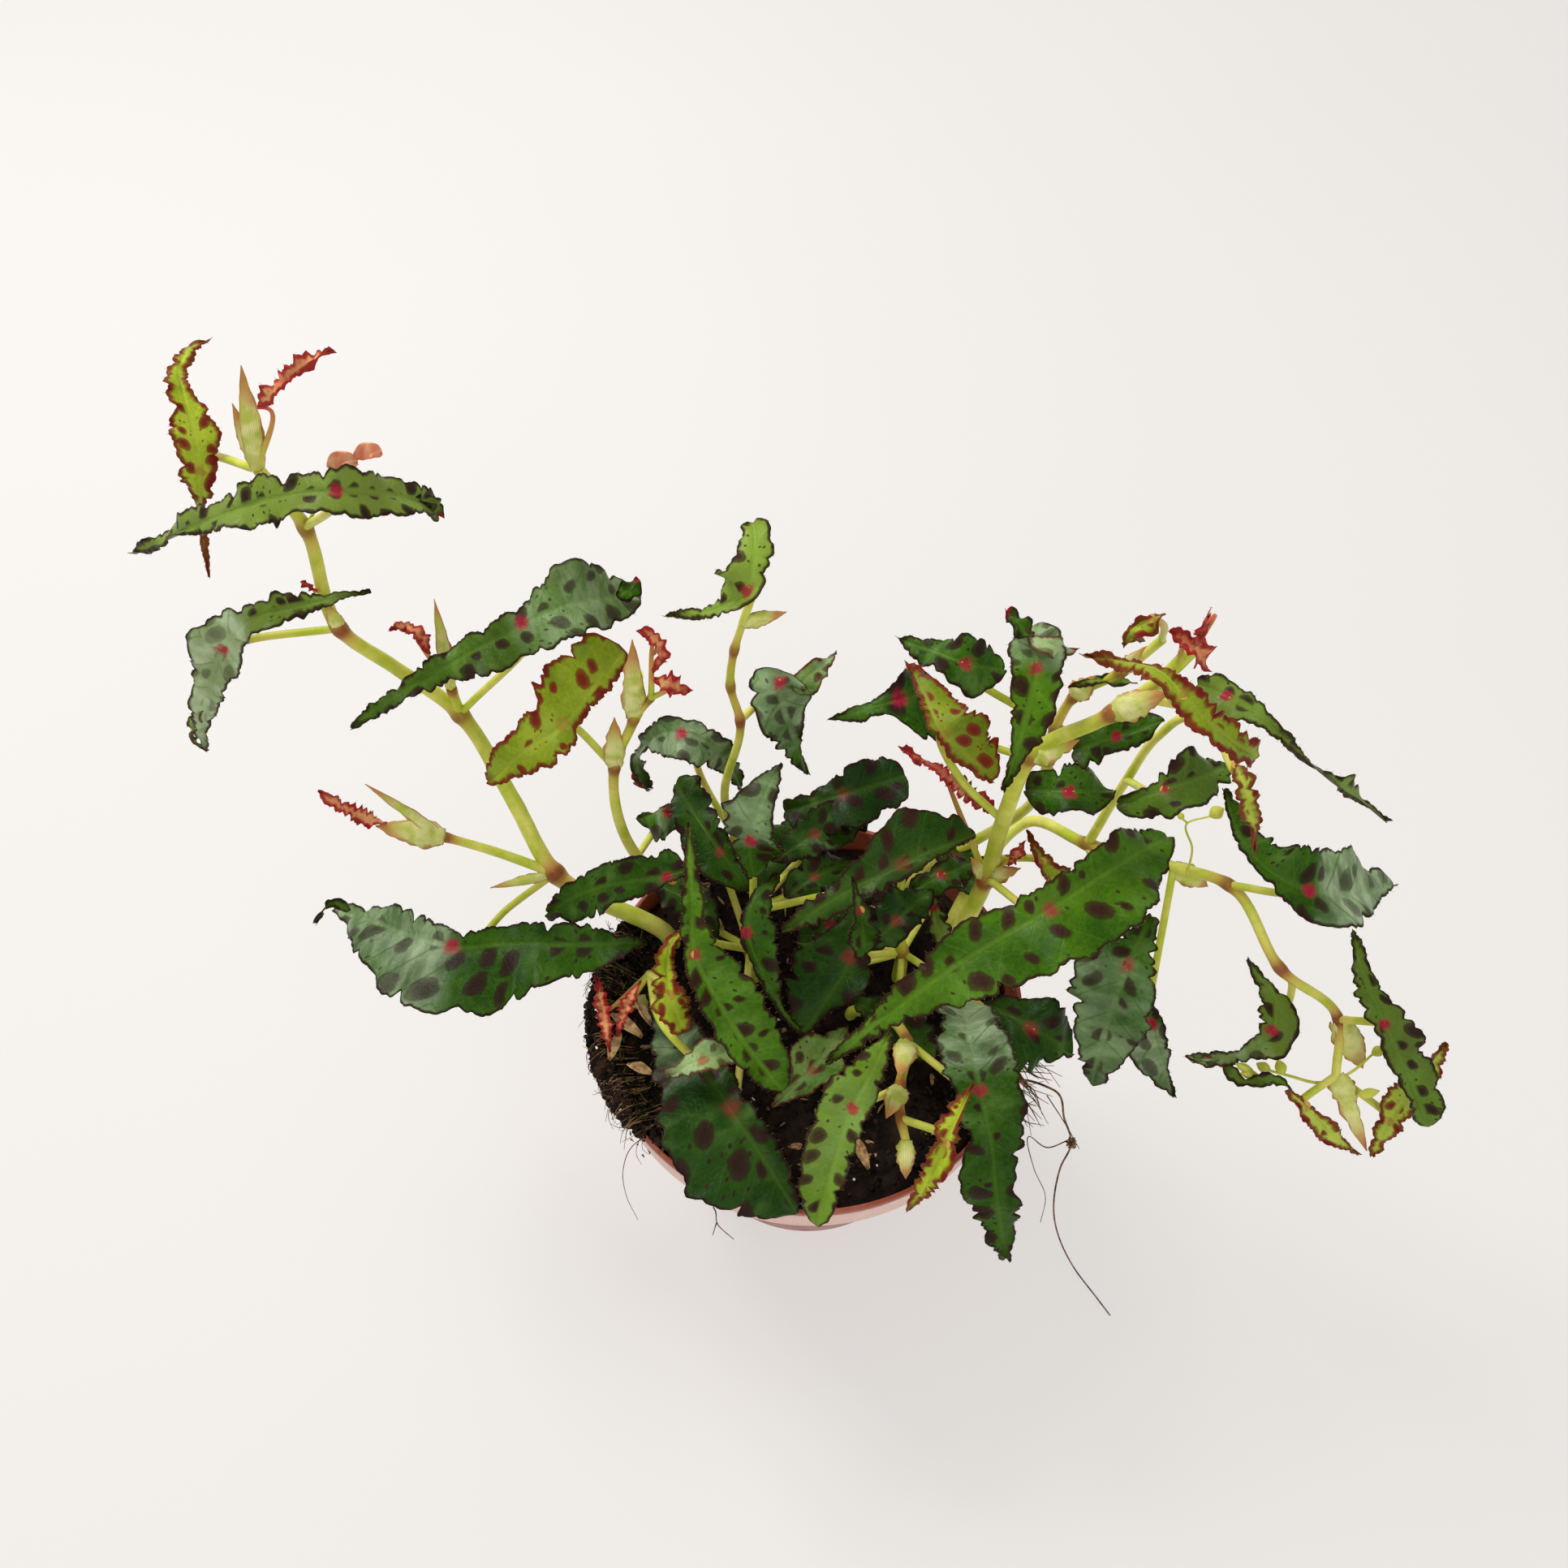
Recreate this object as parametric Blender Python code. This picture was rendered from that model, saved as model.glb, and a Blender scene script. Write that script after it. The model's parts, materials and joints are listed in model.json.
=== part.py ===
"""A begonia with spotted, wavy leaves, growing in a round plastic nursery pot.

Metres, +Z up. The origin is the middle of the pot's foot, on the surface that it stands on.
Leaves and canes are placed where they are seen from above the front of the plant: a place is
a pixel of that view, 1932 pixels square, with the height of the point above the foot in mm.
"""
from collections import namedtuple
from math import cos, exp, pi, radians, sin, sqrt, tan

import bmesh
import bpy
from mathutils import Vector

MM = 0.001

# Pot
RIM_RADIUS = 60 * MM
LIP_FOOT_RADIUS = 59 * MM
WALL_TOP_RADIUS = 55.5 * MM
FOOT_RADIUS = 39 * MM
POT_HEIGHT = 86 * MM
LIP_HEIGHT = 14 * MM
WALL = 1.3 * MM
BASE = 1.5 * MM
POT_SIDES = 36
DRAIN_RADIUS = 3.5 * MM
DRAIN_RING = 27 * MM
DRAINS = 6
DRAIN_SIDES = 12
DRAIN_TURN = 0.27

# Soil
SOIL_LEVEL = 77 * MM
SOIL_RISE = 5 * MM
SOIL_GAP = 0.5 * MM
SLANT_GAP = 0.8 * MM
SOIL_RINGS = (0.72, 0.4)
SOIL_LUMP = 0.9 * MM

# Stems
THICK_SIDES = 8
THIN_SIDES = 6
THICK = 2 * MM
STALK_SIDES = 5
STEM_FOOT = 68
HOLE_FOOT = 66
HOLE_TOP = 96
HOLE_GAP = 0.35 * MM
SWELL = 0.3
SWELL_LENGTH = 2.2 * MM
KNOT_RINGS = 1.6
STALK_RADIUS = 1.15 * MM
STALK_RINGS = 3
SHEATH = ((0, 0.3), (0.3, 1), (0.65, 0.7), (1, 0.06))
SHEATH_DEPTH = 0.6

# Leaves
BLADE_THICK = 0.7 * MM
STALK_GAP = 0.65 * MM
TOOTH_DEPTH = {"dark": 0.16, "bright": 0.16, "young": 0.22, "pale": 0.2, "red": 0.45}
TOOTH_TIP = 0.75
TEETH_PER_METRE = 82
RUFFLE = 0.9 * MM
RUFFLE_SHIFT = 0.3
TAIL_ROUND = 2 * MM
HEAD_ROUND = 5 * MM
LEAST_HALF = 0.4 * MM
TAIL_END = 0.012
HEAD_END = 0.988
FUSED_STALK = 0.75
STALK_LEAD = 6 * MM

# The eye that the view was taken with
EYE = Vector((-7.4, -180.4, 477.4)) * MM
EYE_DOWN = radians(57)
EYE_REACH = 1860
VIEW_MIDDLE = 966


def seen(u, v, height):
    """The point at a height in mm that shows at a pixel of the view."""
    ahead = Vector((0, cos(EYE_DOWN), -sin(EYE_DOWN)))
    above = Vector((0, sin(EYE_DOWN), cos(EYE_DOWN)))
    aside = Vector((1, 0, 0))
    ray = ahead + aside * (u - VIEW_MIDDLE) / EYE_REACH - above * (v - VIEW_MIDDLE) / EYE_REACH
    return EYE + ray * (height * MM - EYE.z) / ray.z


def stands(x, y, height):
    """A point given in mm from the middle of the pot's foot."""
    return Vector((x, y, height)) * MM


class Route:
    """A smooth curve through points, read by the share of its length."""

    STEPS = 12

    def __init__(self, points):
        spans = [(b - a).length for a, b in zip(points, points[1:])]
        slopes = []
        for i, point in enumerate(points):
            before = (point - points[i - 1]) / spans[i - 1] if i else None
            after = (points[i + 1] - point) / spans[i] if i < len(spans) else None
            if before is None or after is None:
                slopes.append(after if before is None else before)
            else:
                share = spans[i - 1] + spans[i]
                slopes.append((after * spans[i - 1] + before * spans[i]) / share)
        self.places = [points[0]]
        for i, span in enumerate(spans):
            for step in range(1, self.STEPS + 1):
                t = step / self.STEPS
                out = (1 + 2 * t) * (1 - t) ** 2 * points[i] + t * (1 - t) ** 2 * span * slopes[i]
                back = t * t * (3 - 2 * t) * points[i + 1] - t * t * (1 - t) * span * slopes[i + 1]
                self.places.append(out + back)
        self.runs = [0.0]
        for a, b in zip(self.places, self.places[1:]):
            self.runs.append(self.runs[-1] + (b - a).length)
        self.length = self.runs[-1]

    def share_at(self, index):
        """The share of the length at the route's point of that number, which may lie between two."""
        return self.runs[round(index * self.STEPS)] / self.length

    def at(self, share):
        run = min(max(share, 0.0), 1.0) * self.length
        i = 0
        while i < len(self.runs) - 2 and self.runs[i + 1] < run:
            i += 1
        t = (run - self.runs[i]) / (self.runs[i + 1] - self.runs[i])
        return self.places[i].lerp(self.places[i + 1], t)

    def along(self, share):
        near = 0.01
        return (self.at(share + near) - self.at(share - near)).normalized()


# Meshes


def new_object(name, points, faces):
    mesh = bpy.data.meshes.new(name)
    mesh.from_pydata([tuple(p) for p in points], [], faces)
    obj = bpy.data.objects.new(name, mesh)
    bpy.context.collection.objects.link(obj)
    return obj


def skinned(name, rings):
    """A closed skin over rings of equal number of points, with flat ends."""
    sides = len(rings[0])
    points = [p for ring in rings for p in ring]
    faces = []
    for i in range(len(rings) - 1):
        for k in range(sides):
            a = i * sides + k
            b = i * sides + (k + 1) % sides
            faces.append((a, b, b + sides, a + sides))
    faces.append(tuple(range(sides))[::-1])
    faces.append(tuple(range((len(rings) - 1) * sides, len(rings) * sides)))
    solid = new_object(name, points, faces)
    set_outward(solid)
    return solid


def tube(name, route, shares, radius_at, sides):
    """A round stem along a route, its rings turned as little as the route allows."""
    rings = []
    across = None
    for share in shares:
        along = route.along(share)
        if across is None:
            across = Vector((1, 0, 0)) if abs(along.x) < 0.9 else Vector((0, 1, 0))
        across = (across - along * across.dot(along)).normalized()
        other = along.cross(across)
        ring = []
        for k in range(sides):
            turn = 2 * pi * k / sides
            ring.append(route.at(share) + (across * cos(turn) + other * sin(turn)) * radius_at(share))
        rings.append(ring)
    return skinned(name, rings)


def join_all(host, pieces):
    """The host and all that grows from it, as one closed body."""
    group = bpy.data.collections.new(host.name + "_growth")
    bpy.context.scene.collection.children.link(group)
    for piece in pieces:
        group.objects.link(piece)
        bpy.context.collection.objects.unlink(piece)
    union = host.modifiers.new("growth", "BOOLEAN")
    union.operation = "UNION"
    union.operand_type = "COLLECTION"
    union.collection = group
    union.solver = "MANIFOLD"
    finish_shape(host)
    for piece in pieces:
        bpy.data.objects.remove(piece)
    bpy.data.collections.remove(group)


def finish_shape(obj):
    """Writes what the modifiers make into the object's own mesh."""
    graph = bpy.context.evaluated_depsgraph_get()
    made = bpy.data.meshes.new_from_object(obj.evaluated_get(graph))
    made.name = obj.name
    obj.modifiers.clear()
    old = obj.data
    obj.data = made
    bpy.data.meshes.remove(old)


def finish_colour(obj, name, colour, roughness):
    material = bpy.data.materials.get(name)
    if material is None:
        material = bpy.data.materials.new(name)
        material.use_nodes = True
        shader = material.node_tree.nodes["Principled BSDF"]
        shader.inputs["Base Color"].default_value = (*colour, 1)
        shader.inputs["Roughness"].default_value = roughness
        shader.inputs["Metallic"].default_value = 0
        material.diffuse_color = (*colour, 1)
    obj.data.materials.clear()
    obj.data.materials.append(material)


# Leaf blades

Leaf = namedtuple("Leaf", "name tone on knot route spot left right by fold fused")


def leaf(name, tone, on, knot, route, spot, left, right, by=(), fold=8, fused=False):
    """A blade's row: its route runs from the tail to the head.

    knot is the number of the point of its stem's route that the stalk grows from, by the points
    that the stalk passes, and spot the number of the point of the blade's route that it joins.
    left and right are the widths in mm to each side of the midrib, going from tail to head, at
    equal shares of its length with both ends. fold is the slope of each half in degrees.
    """
    left = [width * MM for width in left]
    right = [width * MM for width in right]
    return Leaf(name, tone, on, knot, route, spot, left, right, by, fold, fused)


def smooth(values, share):
    """Reads evenly spaced values at a share of their run, rounding the corners between them."""
    place = min(max(share, 0.0), 1.0) * (len(values) - 1)
    i = min(int(place), len(values) - 2)
    t = place - i
    before = values[max(i - 1, 0)]
    after = values[min(i + 2, len(values) - 1)]
    slope_in = (values[i + 1] - before) / 2
    slope_out = (after - values[i]) / 2
    rise = values[i + 1] - values[i]
    return values[i] + t * (slope_in + t * (3 * rise - 2 * slope_in - slope_out
                                            + t * (slope_in + slope_out - 2 * rise)))


class Blade:
    """The wavy, toothed surface of a leaf row."""

    def __init__(self, row):
        self.row = row
        self.route = Route([seen(*place) for place in row.route])
        self.spot = self.route.share_at(row.spot)
        self.teeth = max(4, round(self.route.length * TEETH_PER_METRE))
        self.phase = sum(ord(letter) for letter in row.name) % 7

    def facing(self, share):
        """The directions along, across and off the blade at a share of its length."""
        place = self.route.at(share)
        along = self.route.along(share)
        face = Vector((0, 0, 0.6)) + 0.7 * (EYE - place).normalized()
        off = (face - along * face.dot(along)).normalized()
        return along, along.cross(off), off

    def half(self, share, across):
        """The width from the midrib to the points of the teeth, rounded off at both ends."""
        width = smooth(self.row.right if across > 0 else self.row.left, share)
        for run, rounding in ((share, TAIL_ROUND), (1 - share, HEAD_ROUND)):
            short = max(1 - run * self.route.length / rounding, 0.0)
            width *= sqrt(max(1 - short * short, 0.0))
        return width

    def tooth(self, share):
        part = (share * self.teeth) % 1.0
        rise = part / TOOTH_TIP if part <= TOOTH_TIP else (1 - part) / (1 - TOOTH_TIP)
        return 1 - TOOTH_DEPTH[self.row.tone] * (1 - rise)

    def place(self, share, across, lift):
        """across runs from -1 to 1 between the margins, lift is the height off the mid surface."""
        along, side, off = self.facing(share)
        reach = max(self.half(share, across) * self.tooth(share), LEAST_HALF) * across
        waves = self.teeth * 0.5 * share + self.phase + (RUFFLE_SHIFT if across > 0 else 0.0)
        wave = RUFFLE * abs(across) * sin(2 * pi * waves)
        rise = abs(reach) * tan(radians(self.row.fold)) + wave
        return self.route.at(share) + side * reach + off * (rise + lift)

    def stations(self):
        """The shares at the root and the point of each tooth, and at both ends."""
        found = [TAIL_END]
        for i in range(self.teeth):
            if i:
                found.append(i / self.teeth)
            found.append((i + TOOTH_TIP) / self.teeth)
        found.append(HEAD_END)
        return found

    def under_spot(self, depth):
        """A point straight below the flat piece of midrib that holds the spot."""
        shares = self.stations()
        after = 1
        while after < len(shares) - 1 and shares[after] < self.spot:
            after += 1
        part = (self.spot - shares[after - 1]) / (shares[after] - shares[after - 1])
        before = self.route.at(shares[after - 1])
        place = before.lerp(self.route.at(shares[after]), min(part, 1.0))
        along, side, off = self.facing(self.spot)
        return place - off * depth


def blade_solid(row):
    """Both faces are split into the same triangles, so that they never cross."""
    blade = Blade(row)
    shares = blade.stations()
    columns = (-1, 0, 1)
    points = []
    for lift in (BLADE_THICK / 2, -BLADE_THICK / 2):
        for share in shares:
            points += [blade.place(share, across, lift) for across in columns]
    wide = len(columns)
    under = wide * len(shares)
    faces = []
    for i in range(len(shares) - 1):
        for k in range(wide - 1):
            a = i * wide + k
            halves = ((a, a + 1, a + wide + 1), (a, a + wide + 1, a + wide))
            if k:
                halves = ((a, a + 1, a + wide), (a + 1, a + wide + 1, a + wide))
            for half in halves:
                faces.append(half[::-1])
                faces.append(tuple(corner + under for corner in half))
        for k, turn in ((0, 1), (wide - 1, -1)):
            a = i * wide + k
            rim = (a, a + wide, a + wide + under, a + under)
            rim = rim[::-1] if turn > 0 else rim
            faces.append(rim[:3])
            faces.append((rim[0], rim[2], rim[3]))
    for first, turn in ((0, 1), (under - wide, -1)):
        for k in range(wide - 1):
            a = first + k
            end = (a, a + 1, a + 1 + under, a + under)
            faces.append(end if turn > 0 else end[::-1])
    solid = new_object(row.name, points, faces)
    set_outward(solid)
    return solid


def set_outward(obj):
    shape = bmesh.new()
    shape.from_mesh(obj.data)
    bmesh.ops.recalc_face_normals(shape, faces=shape.faces)
    shape.to_mesh(obj.data)
    shape.free()


def leaf_stalk(row):
    """From its stem to just below the blade's spot, or into the blade where they are fused."""
    blade = Blade(row)
    gap = BLADE_THICK / 2 + STALK_GAP + STALK_RADIUS * max(0.0, -tan(radians(row.fold)))
    end = blade.under_spot(0.0 if row.fused else gap)
    stem_route = route_of(row.on)
    passes = [stem_route.at(stem_route.share_at(row.knot)), *row.by]
    lead = min(STALK_LEAD, 0.3 * (end - passes[-1]).length)
    route = Route([*passes, blade.under_spot(gap + lead), end])
    radius = STALK_RADIUS * (FUSED_STALK if row.fused else 1.0)
    shares = [i / STALK_RINGS for i in range(STALK_RINGS)] + [1 - 0.5 * lead / route.length, 1]
    return tube(row.name + "_stalk", route, shares, lambda share: radius, STALK_SIDES)


# The plant

Stem = namedtuple("Stem", "name parent knot thick route knots")
Stipule = namedtuple("Stipule", "on knot width tip")


def stem(name, thick, route, knots=()):
    """thick is the radius in mm at the soil and at the tip, knots the points with a swelling."""
    return Stem(name, None, None, [value * MM for value in thick], route, knots)


def twig(name, parent, knot, thick, route):
    """A side shoot that is one body with its parent, from the knot of the parent that it names."""
    return Stem(name, parent, knot, [value * MM for value in thick], route, (len(route),))


def sprout(on, knot, route, spot, left, right):
    """A crinkled young leaf, fused to its stem."""
    name = f"{on}_sprout_{route[0][0]}"
    return leaf(name, "red", on, knot, route, spot, left, right, fused=True)


def stipule(on, knot, width, tip):
    """A papery sheath, as wide as given in mm, from a knot of its stem to its own tip."""
    return Stipule(on, knot, width * MM, tip)


STEMS = [
    stem("cane_left", (2.7, 1.5), [
        stands(-41, 22, STEM_FOOT), stands(-41, 22, 84), seen(684, 1076, 99), seen(632, 985, 116),
        seen(567, 880, 135), seen(486, 822, 154), seen(418, 774, 172), seen(376, 650, 200),
        seen(318, 578, 222)], (2, 4, 6, 7)),
    stem("cane_left_middle", (1.8, 1.2), [
        stands(-34, 35, STEM_FOOT), stands(-34, 35, 82), seen(785, 1055, 102), seen(757, 945, 137),
        seen(781, 885, 157), seen(787, 830, 176)], (3, 4)),
    stem("cane_back", (1.4, 1.0), [
        stands(-18, 42, STEM_FOOT), stands(-18, 42, 80), seen(893, 985, 110), seen(912, 888, 145),
        seen(900, 845, 160), seen(905, 800, 175), seen(915, 768, 186)], (3, 4, 5)),
    stem("cane_centre", (2.7, 1.5), [
        stands(38, 12, STEM_FOOT), stands(38, 12, 80), seen(1215, 1082, 120), seen(1236, 1011, 148),
        seen(1272, 930, 175), seen(1372, 878, 203), seen(1430, 838, 216), seen(1470, 800, 226)],
        (2, 4, 5)),
    stem("cane_rear", (1.7, 1.1), [
        stands(30, 40, STEM_FOOT), stands(30, 40, 80), seen(1275, 985, 125), seen(1300, 897, 162),
        seen(1324, 858, 178), seen(1383, 827, 194), seen(1432, 788, 210)], (3, 4, 5)),
    stem("cane_trailing", (1.9, 1.2), [
        stands(41, 25, STEM_FOOT), stands(41, 25, 86), seen(1269, 1012, 100), seen(1340, 1040, 112),
        seen(1446, 1068, 122), seen(1514, 1090, 125), seen(1577, 1193, 115), seen(1649, 1256, 102),
        seen(1646, 1325, 94)], (3, 5, 6, 7)),
    stem("shoot_front", (1.8, 1.1), [
        stands(12, 0, STEM_FOOT), stands(12, 0, 80), seen(1101, 1259, 92), seen(1118, 1284, 98),
        seen(1109, 1340, 104), seen(1110, 1378, 106), seen(1116, 1405, 106)], (3, 4, 5)),
    stem("shoot_low_left", (1.6, 1.1), [
        stands(-44, 2, STEM_FOOT), stands(-44, 2, 84), seen(800, 1200, 98)], (2,)),
    stem("stem_middle_left", (2.2, 1.4), [
        stands(-16, 12, STEM_FOOT), stands(-16, 12, 80), stands(-17, 14, 92), stands(-16, 20, 104)], (2,)),
    stem("stem_middle_right", (2.4, 1.4), [
        stands(26, 12, STEM_FOOT), stands(26, 12, 80), stands(26, 13, 92), stands(24, 15, 104)], (2,)),
]

TWIGS = [
    twig("cane_left_side", "cane_left", 2, (1.5, 1.2), [seen(612, 1050, 108), seen(547, 1031, 117)]),
    twig("cane_left_bud", "cane_left", 4, (1.6, 1.2), [seen(556, 848, 146)]),
    twig("cane_left_middle_bud", "cane_left_middle", 4, (1.1, 0.9), [seen(802, 860, 167)]),
    twig("cane_right", "cane_trailing", 3, (1.4, 1.1), [
        seen(1388, 961, 142), seen(1429, 905, 164), seen(1462, 884, 174), seen(1500, 905, 178)]),
]

LEAVES = [
    # left cane
    leaf("leaf_left_1", "young", "cane_left", 8, [
        (258, 713, 184), (247, 640, 198), (246, 580, 214), (240, 531, 222), (226, 480, 227),
        (222, 450, 228), (236, 428, 228), (259, 420, 226)], 2,
        (0.5, 0.8, 2, 4.5, 5.8, 4.2, 2.4, 1), (0.5, 1.5, 3, 3.9, 5.9, 1.9, 2.6, 1)),
    leaf("leaf_left_2", "dark", "cane_left", 7, [
        (164, 683, 190), (225, 656, 206), (285, 631, 218), (355, 611, 226), (415, 606, 227),
        (465, 608, 222), (513, 617, 213), (541, 625, 205)], 4,
        (0.5, 2.6, 4.6, 4.5, 6.3, 5.2, 5.3, 4.7, 2.5), (0.5, 1.2, 1.4, 3.6, 6.1, 5.8, 6.3, 5, 2.5)),
    leaf("leaf_left_3", "dark", "cane_left", 6, [
        (460, 729, 190), (383, 744, 190), (341, 753, 188), (303, 769, 183), (276, 800, 176),
        (263, 835, 168), (254, 867, 160), (250, 923, 143)], 4,
        (0.5, 2, 4, 5.8, 6.8, 4.6, 2.4, 2), (0.5, 2.6, 4, 5.8, 8.4, 5.4, 2.8, 2.2)),
    leaf("leaf_left_4", "dark", "cane_left", 4, [
        (432, 899, 150), (489, 856, 161), (545, 824, 169), (592, 797, 175), (644, 769, 181),
        (700, 745, 183), (745, 737, 179), (782, 735, 172)], 4,
        (0.6, 2.2, 2.8, 4.2, 4.5, 4.4, 9.5, 9.5, 6), (0.6, 2.2, 4, 5, 8.5, 8.8, 9.5, 8.4, 4)),
    leaf("leaf_left_5", "dark", "cane_left", 2, [
        (800, 1162, 106), (700, 1164, 107), (636, 1162, 106), (558, 1166, 102), (480, 1142, 98),
        (410, 1119, 91)], 3,
        (0.8, 7, 11, 17.5, 19, 18.5, 14.5, 7, 1.5), (0.8, 5, 6, 5.6, 4, 6, 6.3, 4.5, 1.5),
        [seen(625, 1120, 91)]),
    # left middle cane
    leaf("leaf_middle_1", "young", "cane_left_middle", 3, [
        (600, 963, 138), (648, 926, 147), (694, 893, 152), (730, 850, 160), (757, 815, 165),
        (771, 800, 166)], 2, (3, 6.3, 9.2, 13.6, 11.3, 9), (3, 5, 8.6, 3.4, 4.5, 3)),
    leaf("leaf_middle_2", "dark", "cane_left_middle", 2, [
        (674, 1125, 105), (720, 1100, 113), (775, 1086, 120), (821, 1080, 124), (846, 1074, 125)],
        3, (1.5, 4.7, 6.3, 6.5, 8), (3, 7.2, 7.5, 4.2, 2)),
    # back cane
    leaf("leaf_back_1", "bright", "cane_back", 6, [
        (820, 760, 182), (862, 756, 190), (898, 744, 196), (920, 728, 200), (928, 695, 204),
        (930, 665, 206), (928, 643, 206)], 3,
        (0.6, 1.5, 2.9, 7.8, 5.2, 4.7), (0.6, 0.9, 2.5, 3.2, 4.6, 3.8)),
    leaf("leaf_back_2", "dark", "cane_back", 3, [
        (996, 954, 128), (977, 905, 142), (964, 868, 151), (960, 842, 156), (966, 826, 158)],
        3, (0.5, 4.2, 6.6, 8, 7.8), (0.5, 1.3, 3.6, 9, 13)),
    leaf("leaf_back_3", "dark", "cane_back", 1.6, [
        (800, 972, 92), (788, 950, 101), (786, 932, 110), (797, 915, 118), (829, 902, 126),
        (866, 912, 126), (895, 937, 117), (914, 970, 104)], 4.35,
        (1.5, 2.5, 1.6, 4.5, 4.6, 3.4, 2), (1.5, 3, 2.5, 7, 8, 4, 2), [seen(866, 962, 104)]),
    # thick centre cane and the thinner one behind it
    leaf("leaf_centre_1", "bright", "cane_centre", 4, [
        (1236, 975, 184), (1254, 920, 194), (1268, 870, 202), (1277, 822, 208), (1272, 770, 210)],
        3, (0.8, 1.5, 4.2, 5.8, 6), (0.8, 3.7, 6.4, 6.3, 7)),
    leaf("leaf_centre_2", "young", "cane_centre", 3, [
        (1116, 815, 168), (1135, 850, 172), (1162, 905, 173), (1195, 935, 168), (1224, 963, 161)],
        2, (0.5, 3.4, 8, 9.2, 10.3, 5), (0.5, 1.2, 2.2, 2.7, 3.1, 2), [seen(1190, 968, 152)]),
    leaf("leaf_centre_3", "dark", "cane_rear", 3, [
        (1106, 786, 166), (1150, 803, 170), (1190, 817, 172), (1238, 825, 168)], 2,
        (0.5, 2.7, 6, 7.2, 5.5), (0.5, 4.2, 5.2, 8, 3)),
    leaf("leaf_centre_4", "dark", "cane_rear", 2.5, [
        (1020, 887, 142), (1065, 874, 148), (1108, 862, 150), (1165, 850, 146)], 2,
        (0.5, 1, 2.2, 3.3, 7, 8, 6), (0.5, 2.2, 3.6, 5, 13, 14.5, 9)),
    leaf("leaf_centre_5", "young", "cane_centre", 6, [
        (1335, 809, 222), (1385, 815, 230), (1428, 826, 234), (1458, 855, 234), (1490, 890, 230),
        (1524, 918, 224), (1552, 933, 217)], 3,
        (0.5, 1.2, 1.6, 3.8, 4.1, 2.5), (0.5, 2, 4, 3.6, 4.2, 2.5)),
    leaf("leaf_centre_6", "dark", "cane_centre", 5.5, [
        (1709, 1013, 176), (1675, 985, 186), (1640, 962, 196), (1610, 936, 203),
        (1580, 908, 208), (1548, 878, 211), (1510, 857, 211), (1474, 843, 207)], 6,
        (0.5, 0.7, 0.8, 0.9, 1.5, 5.5, 5), (0.5, 1.8, 3, 1, 1.3, 3.6, 3)),
    leaf("leaf_centre_7", "dark", "cane_right", 1, [
        (1376, 990, 166), (1435, 973, 173), (1478, 958, 173), (1514, 944, 169)], 1,
        (1, 2.2, 6.2, 6.7, 3), (3, 6.5, 7.5, 5.4, 3)),
    leaf("leaf_centre_8", "dark", "cane_rear", 3, [
        (1322, 925, 164), (1375, 908, 172), (1436, 888, 178)], 1,
        (4, 5, 5, 4.5, 3), (6, 5.5, 5, 4, 1)),
    leaf("leaf_centre_9", "red", "cane_centre", 2, [
        (1108, 920, 140), (1165, 955, 150), (1224, 1000, 146)], 1,
        (0.5, 1.2, 2.2, 3, 3.2), (0.5, 1.6, 1.8, 3, 3.5)),
    leaf("leaf_centre_10", "dark", "cane_rear", 2.5, [
        (1263, 974, 147), (1318, 975, 152), (1372, 974, 147)], 1,
        (4, 5.5, 8.2, 5.8, 1), (2, 7, 6, 6.5, 2)),
    leaf("leaf_centre_11", "young", "cane_centre", 2.3, [
        (1264, 1022, 130), (1285, 1062, 126), (1312, 1102, 114)], 1,
        (0.5, 1.8, 3.8, 5, 4), (0.5, 1.8, 3, 5, 4)),
    leaf("leaf_centre_12", "young", "cane_rear", 6, [
        (1384, 796, 226), (1396, 774, 231), (1418, 762, 234), (1436, 757, 236)], 2,
        (0.8, 1.2, 1.2, 1.4, 1.3), (0.8, 3.4, 3.6, 3.9, 2.5), fused=True),
    leaf("leaf_centre_13", "young", "cane_right", 4, [
        (1545, 1050, 176), (1545, 1010, 184), (1535, 975, 188), (1522, 942, 188)], 3,
        (0.5, 1.4, 3.3, 2.4, 1.5), (0.5, 1.4, 2.4, 3.2, 2.5), fused=True),
    leaf("leaf_broad", "bright", "cane_centre", 2, [
        (1016, 1312, 118), (1100, 1245, 138), (1200, 1175, 153), (1294, 1120, 161),
        (1375, 1068, 161), (1440, 1030, 153)], 3,
        (0.8, 2.3, 4.3, 6.6, 7.3, 6, 6, 7, 4), (0.8, 3, 4.6, 9.5, 12, 15, 14.6, 9.3, 3)),
    # trailing cane
    leaf("leaf_trailing_1", "dark", "cane_trailing", 5, [
        (1507, 971, 150), (1527, 1030, 149), (1565, 1075, 147), (1614, 1097, 144),
        (1668, 1102, 138), (1718, 1090, 128)], 3,
        (1, 4, 7, 9.8, 11, 12.2, 7.2, 5.5), (0.8, 1.2, 2.5, 4.8, 8.8, 8.3, 3.2, 1)),
    leaf("leaf_trailing_2", "dark", "cane_trailing", 7, [
        (1667, 1145, 118), (1682, 1205, 120), (1706, 1262, 118), (1730, 1315, 110),
        (1760, 1390, 94)], 2, (0.8, 2.1, 4, 6.8, 7, 6.6, 3), (0.8, 2.5, 4.6, 3.4, 3.6, 2.8, 2.5)),
    leaf("leaf_trailing_3", "dark", "cane_trailing", 6, [
        (1461, 1302, 86), (1500, 1303, 92), (1542, 1291, 99), (1568, 1270, 103),
        (1572, 1238, 105), (1536, 1181, 103)], 3,
        (0.8, 1.6, 1.5, 3.5, 5, 2.7, 0.6), (0.8, 3.2, 2.8, 6.5, 5, 1.5, 0.6),
        [seen(1592, 1214, 104), seen(1584, 1246, 95)]),
    leaf("leaf_trailing_4", "young", "cane_trailing", 8, [
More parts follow.
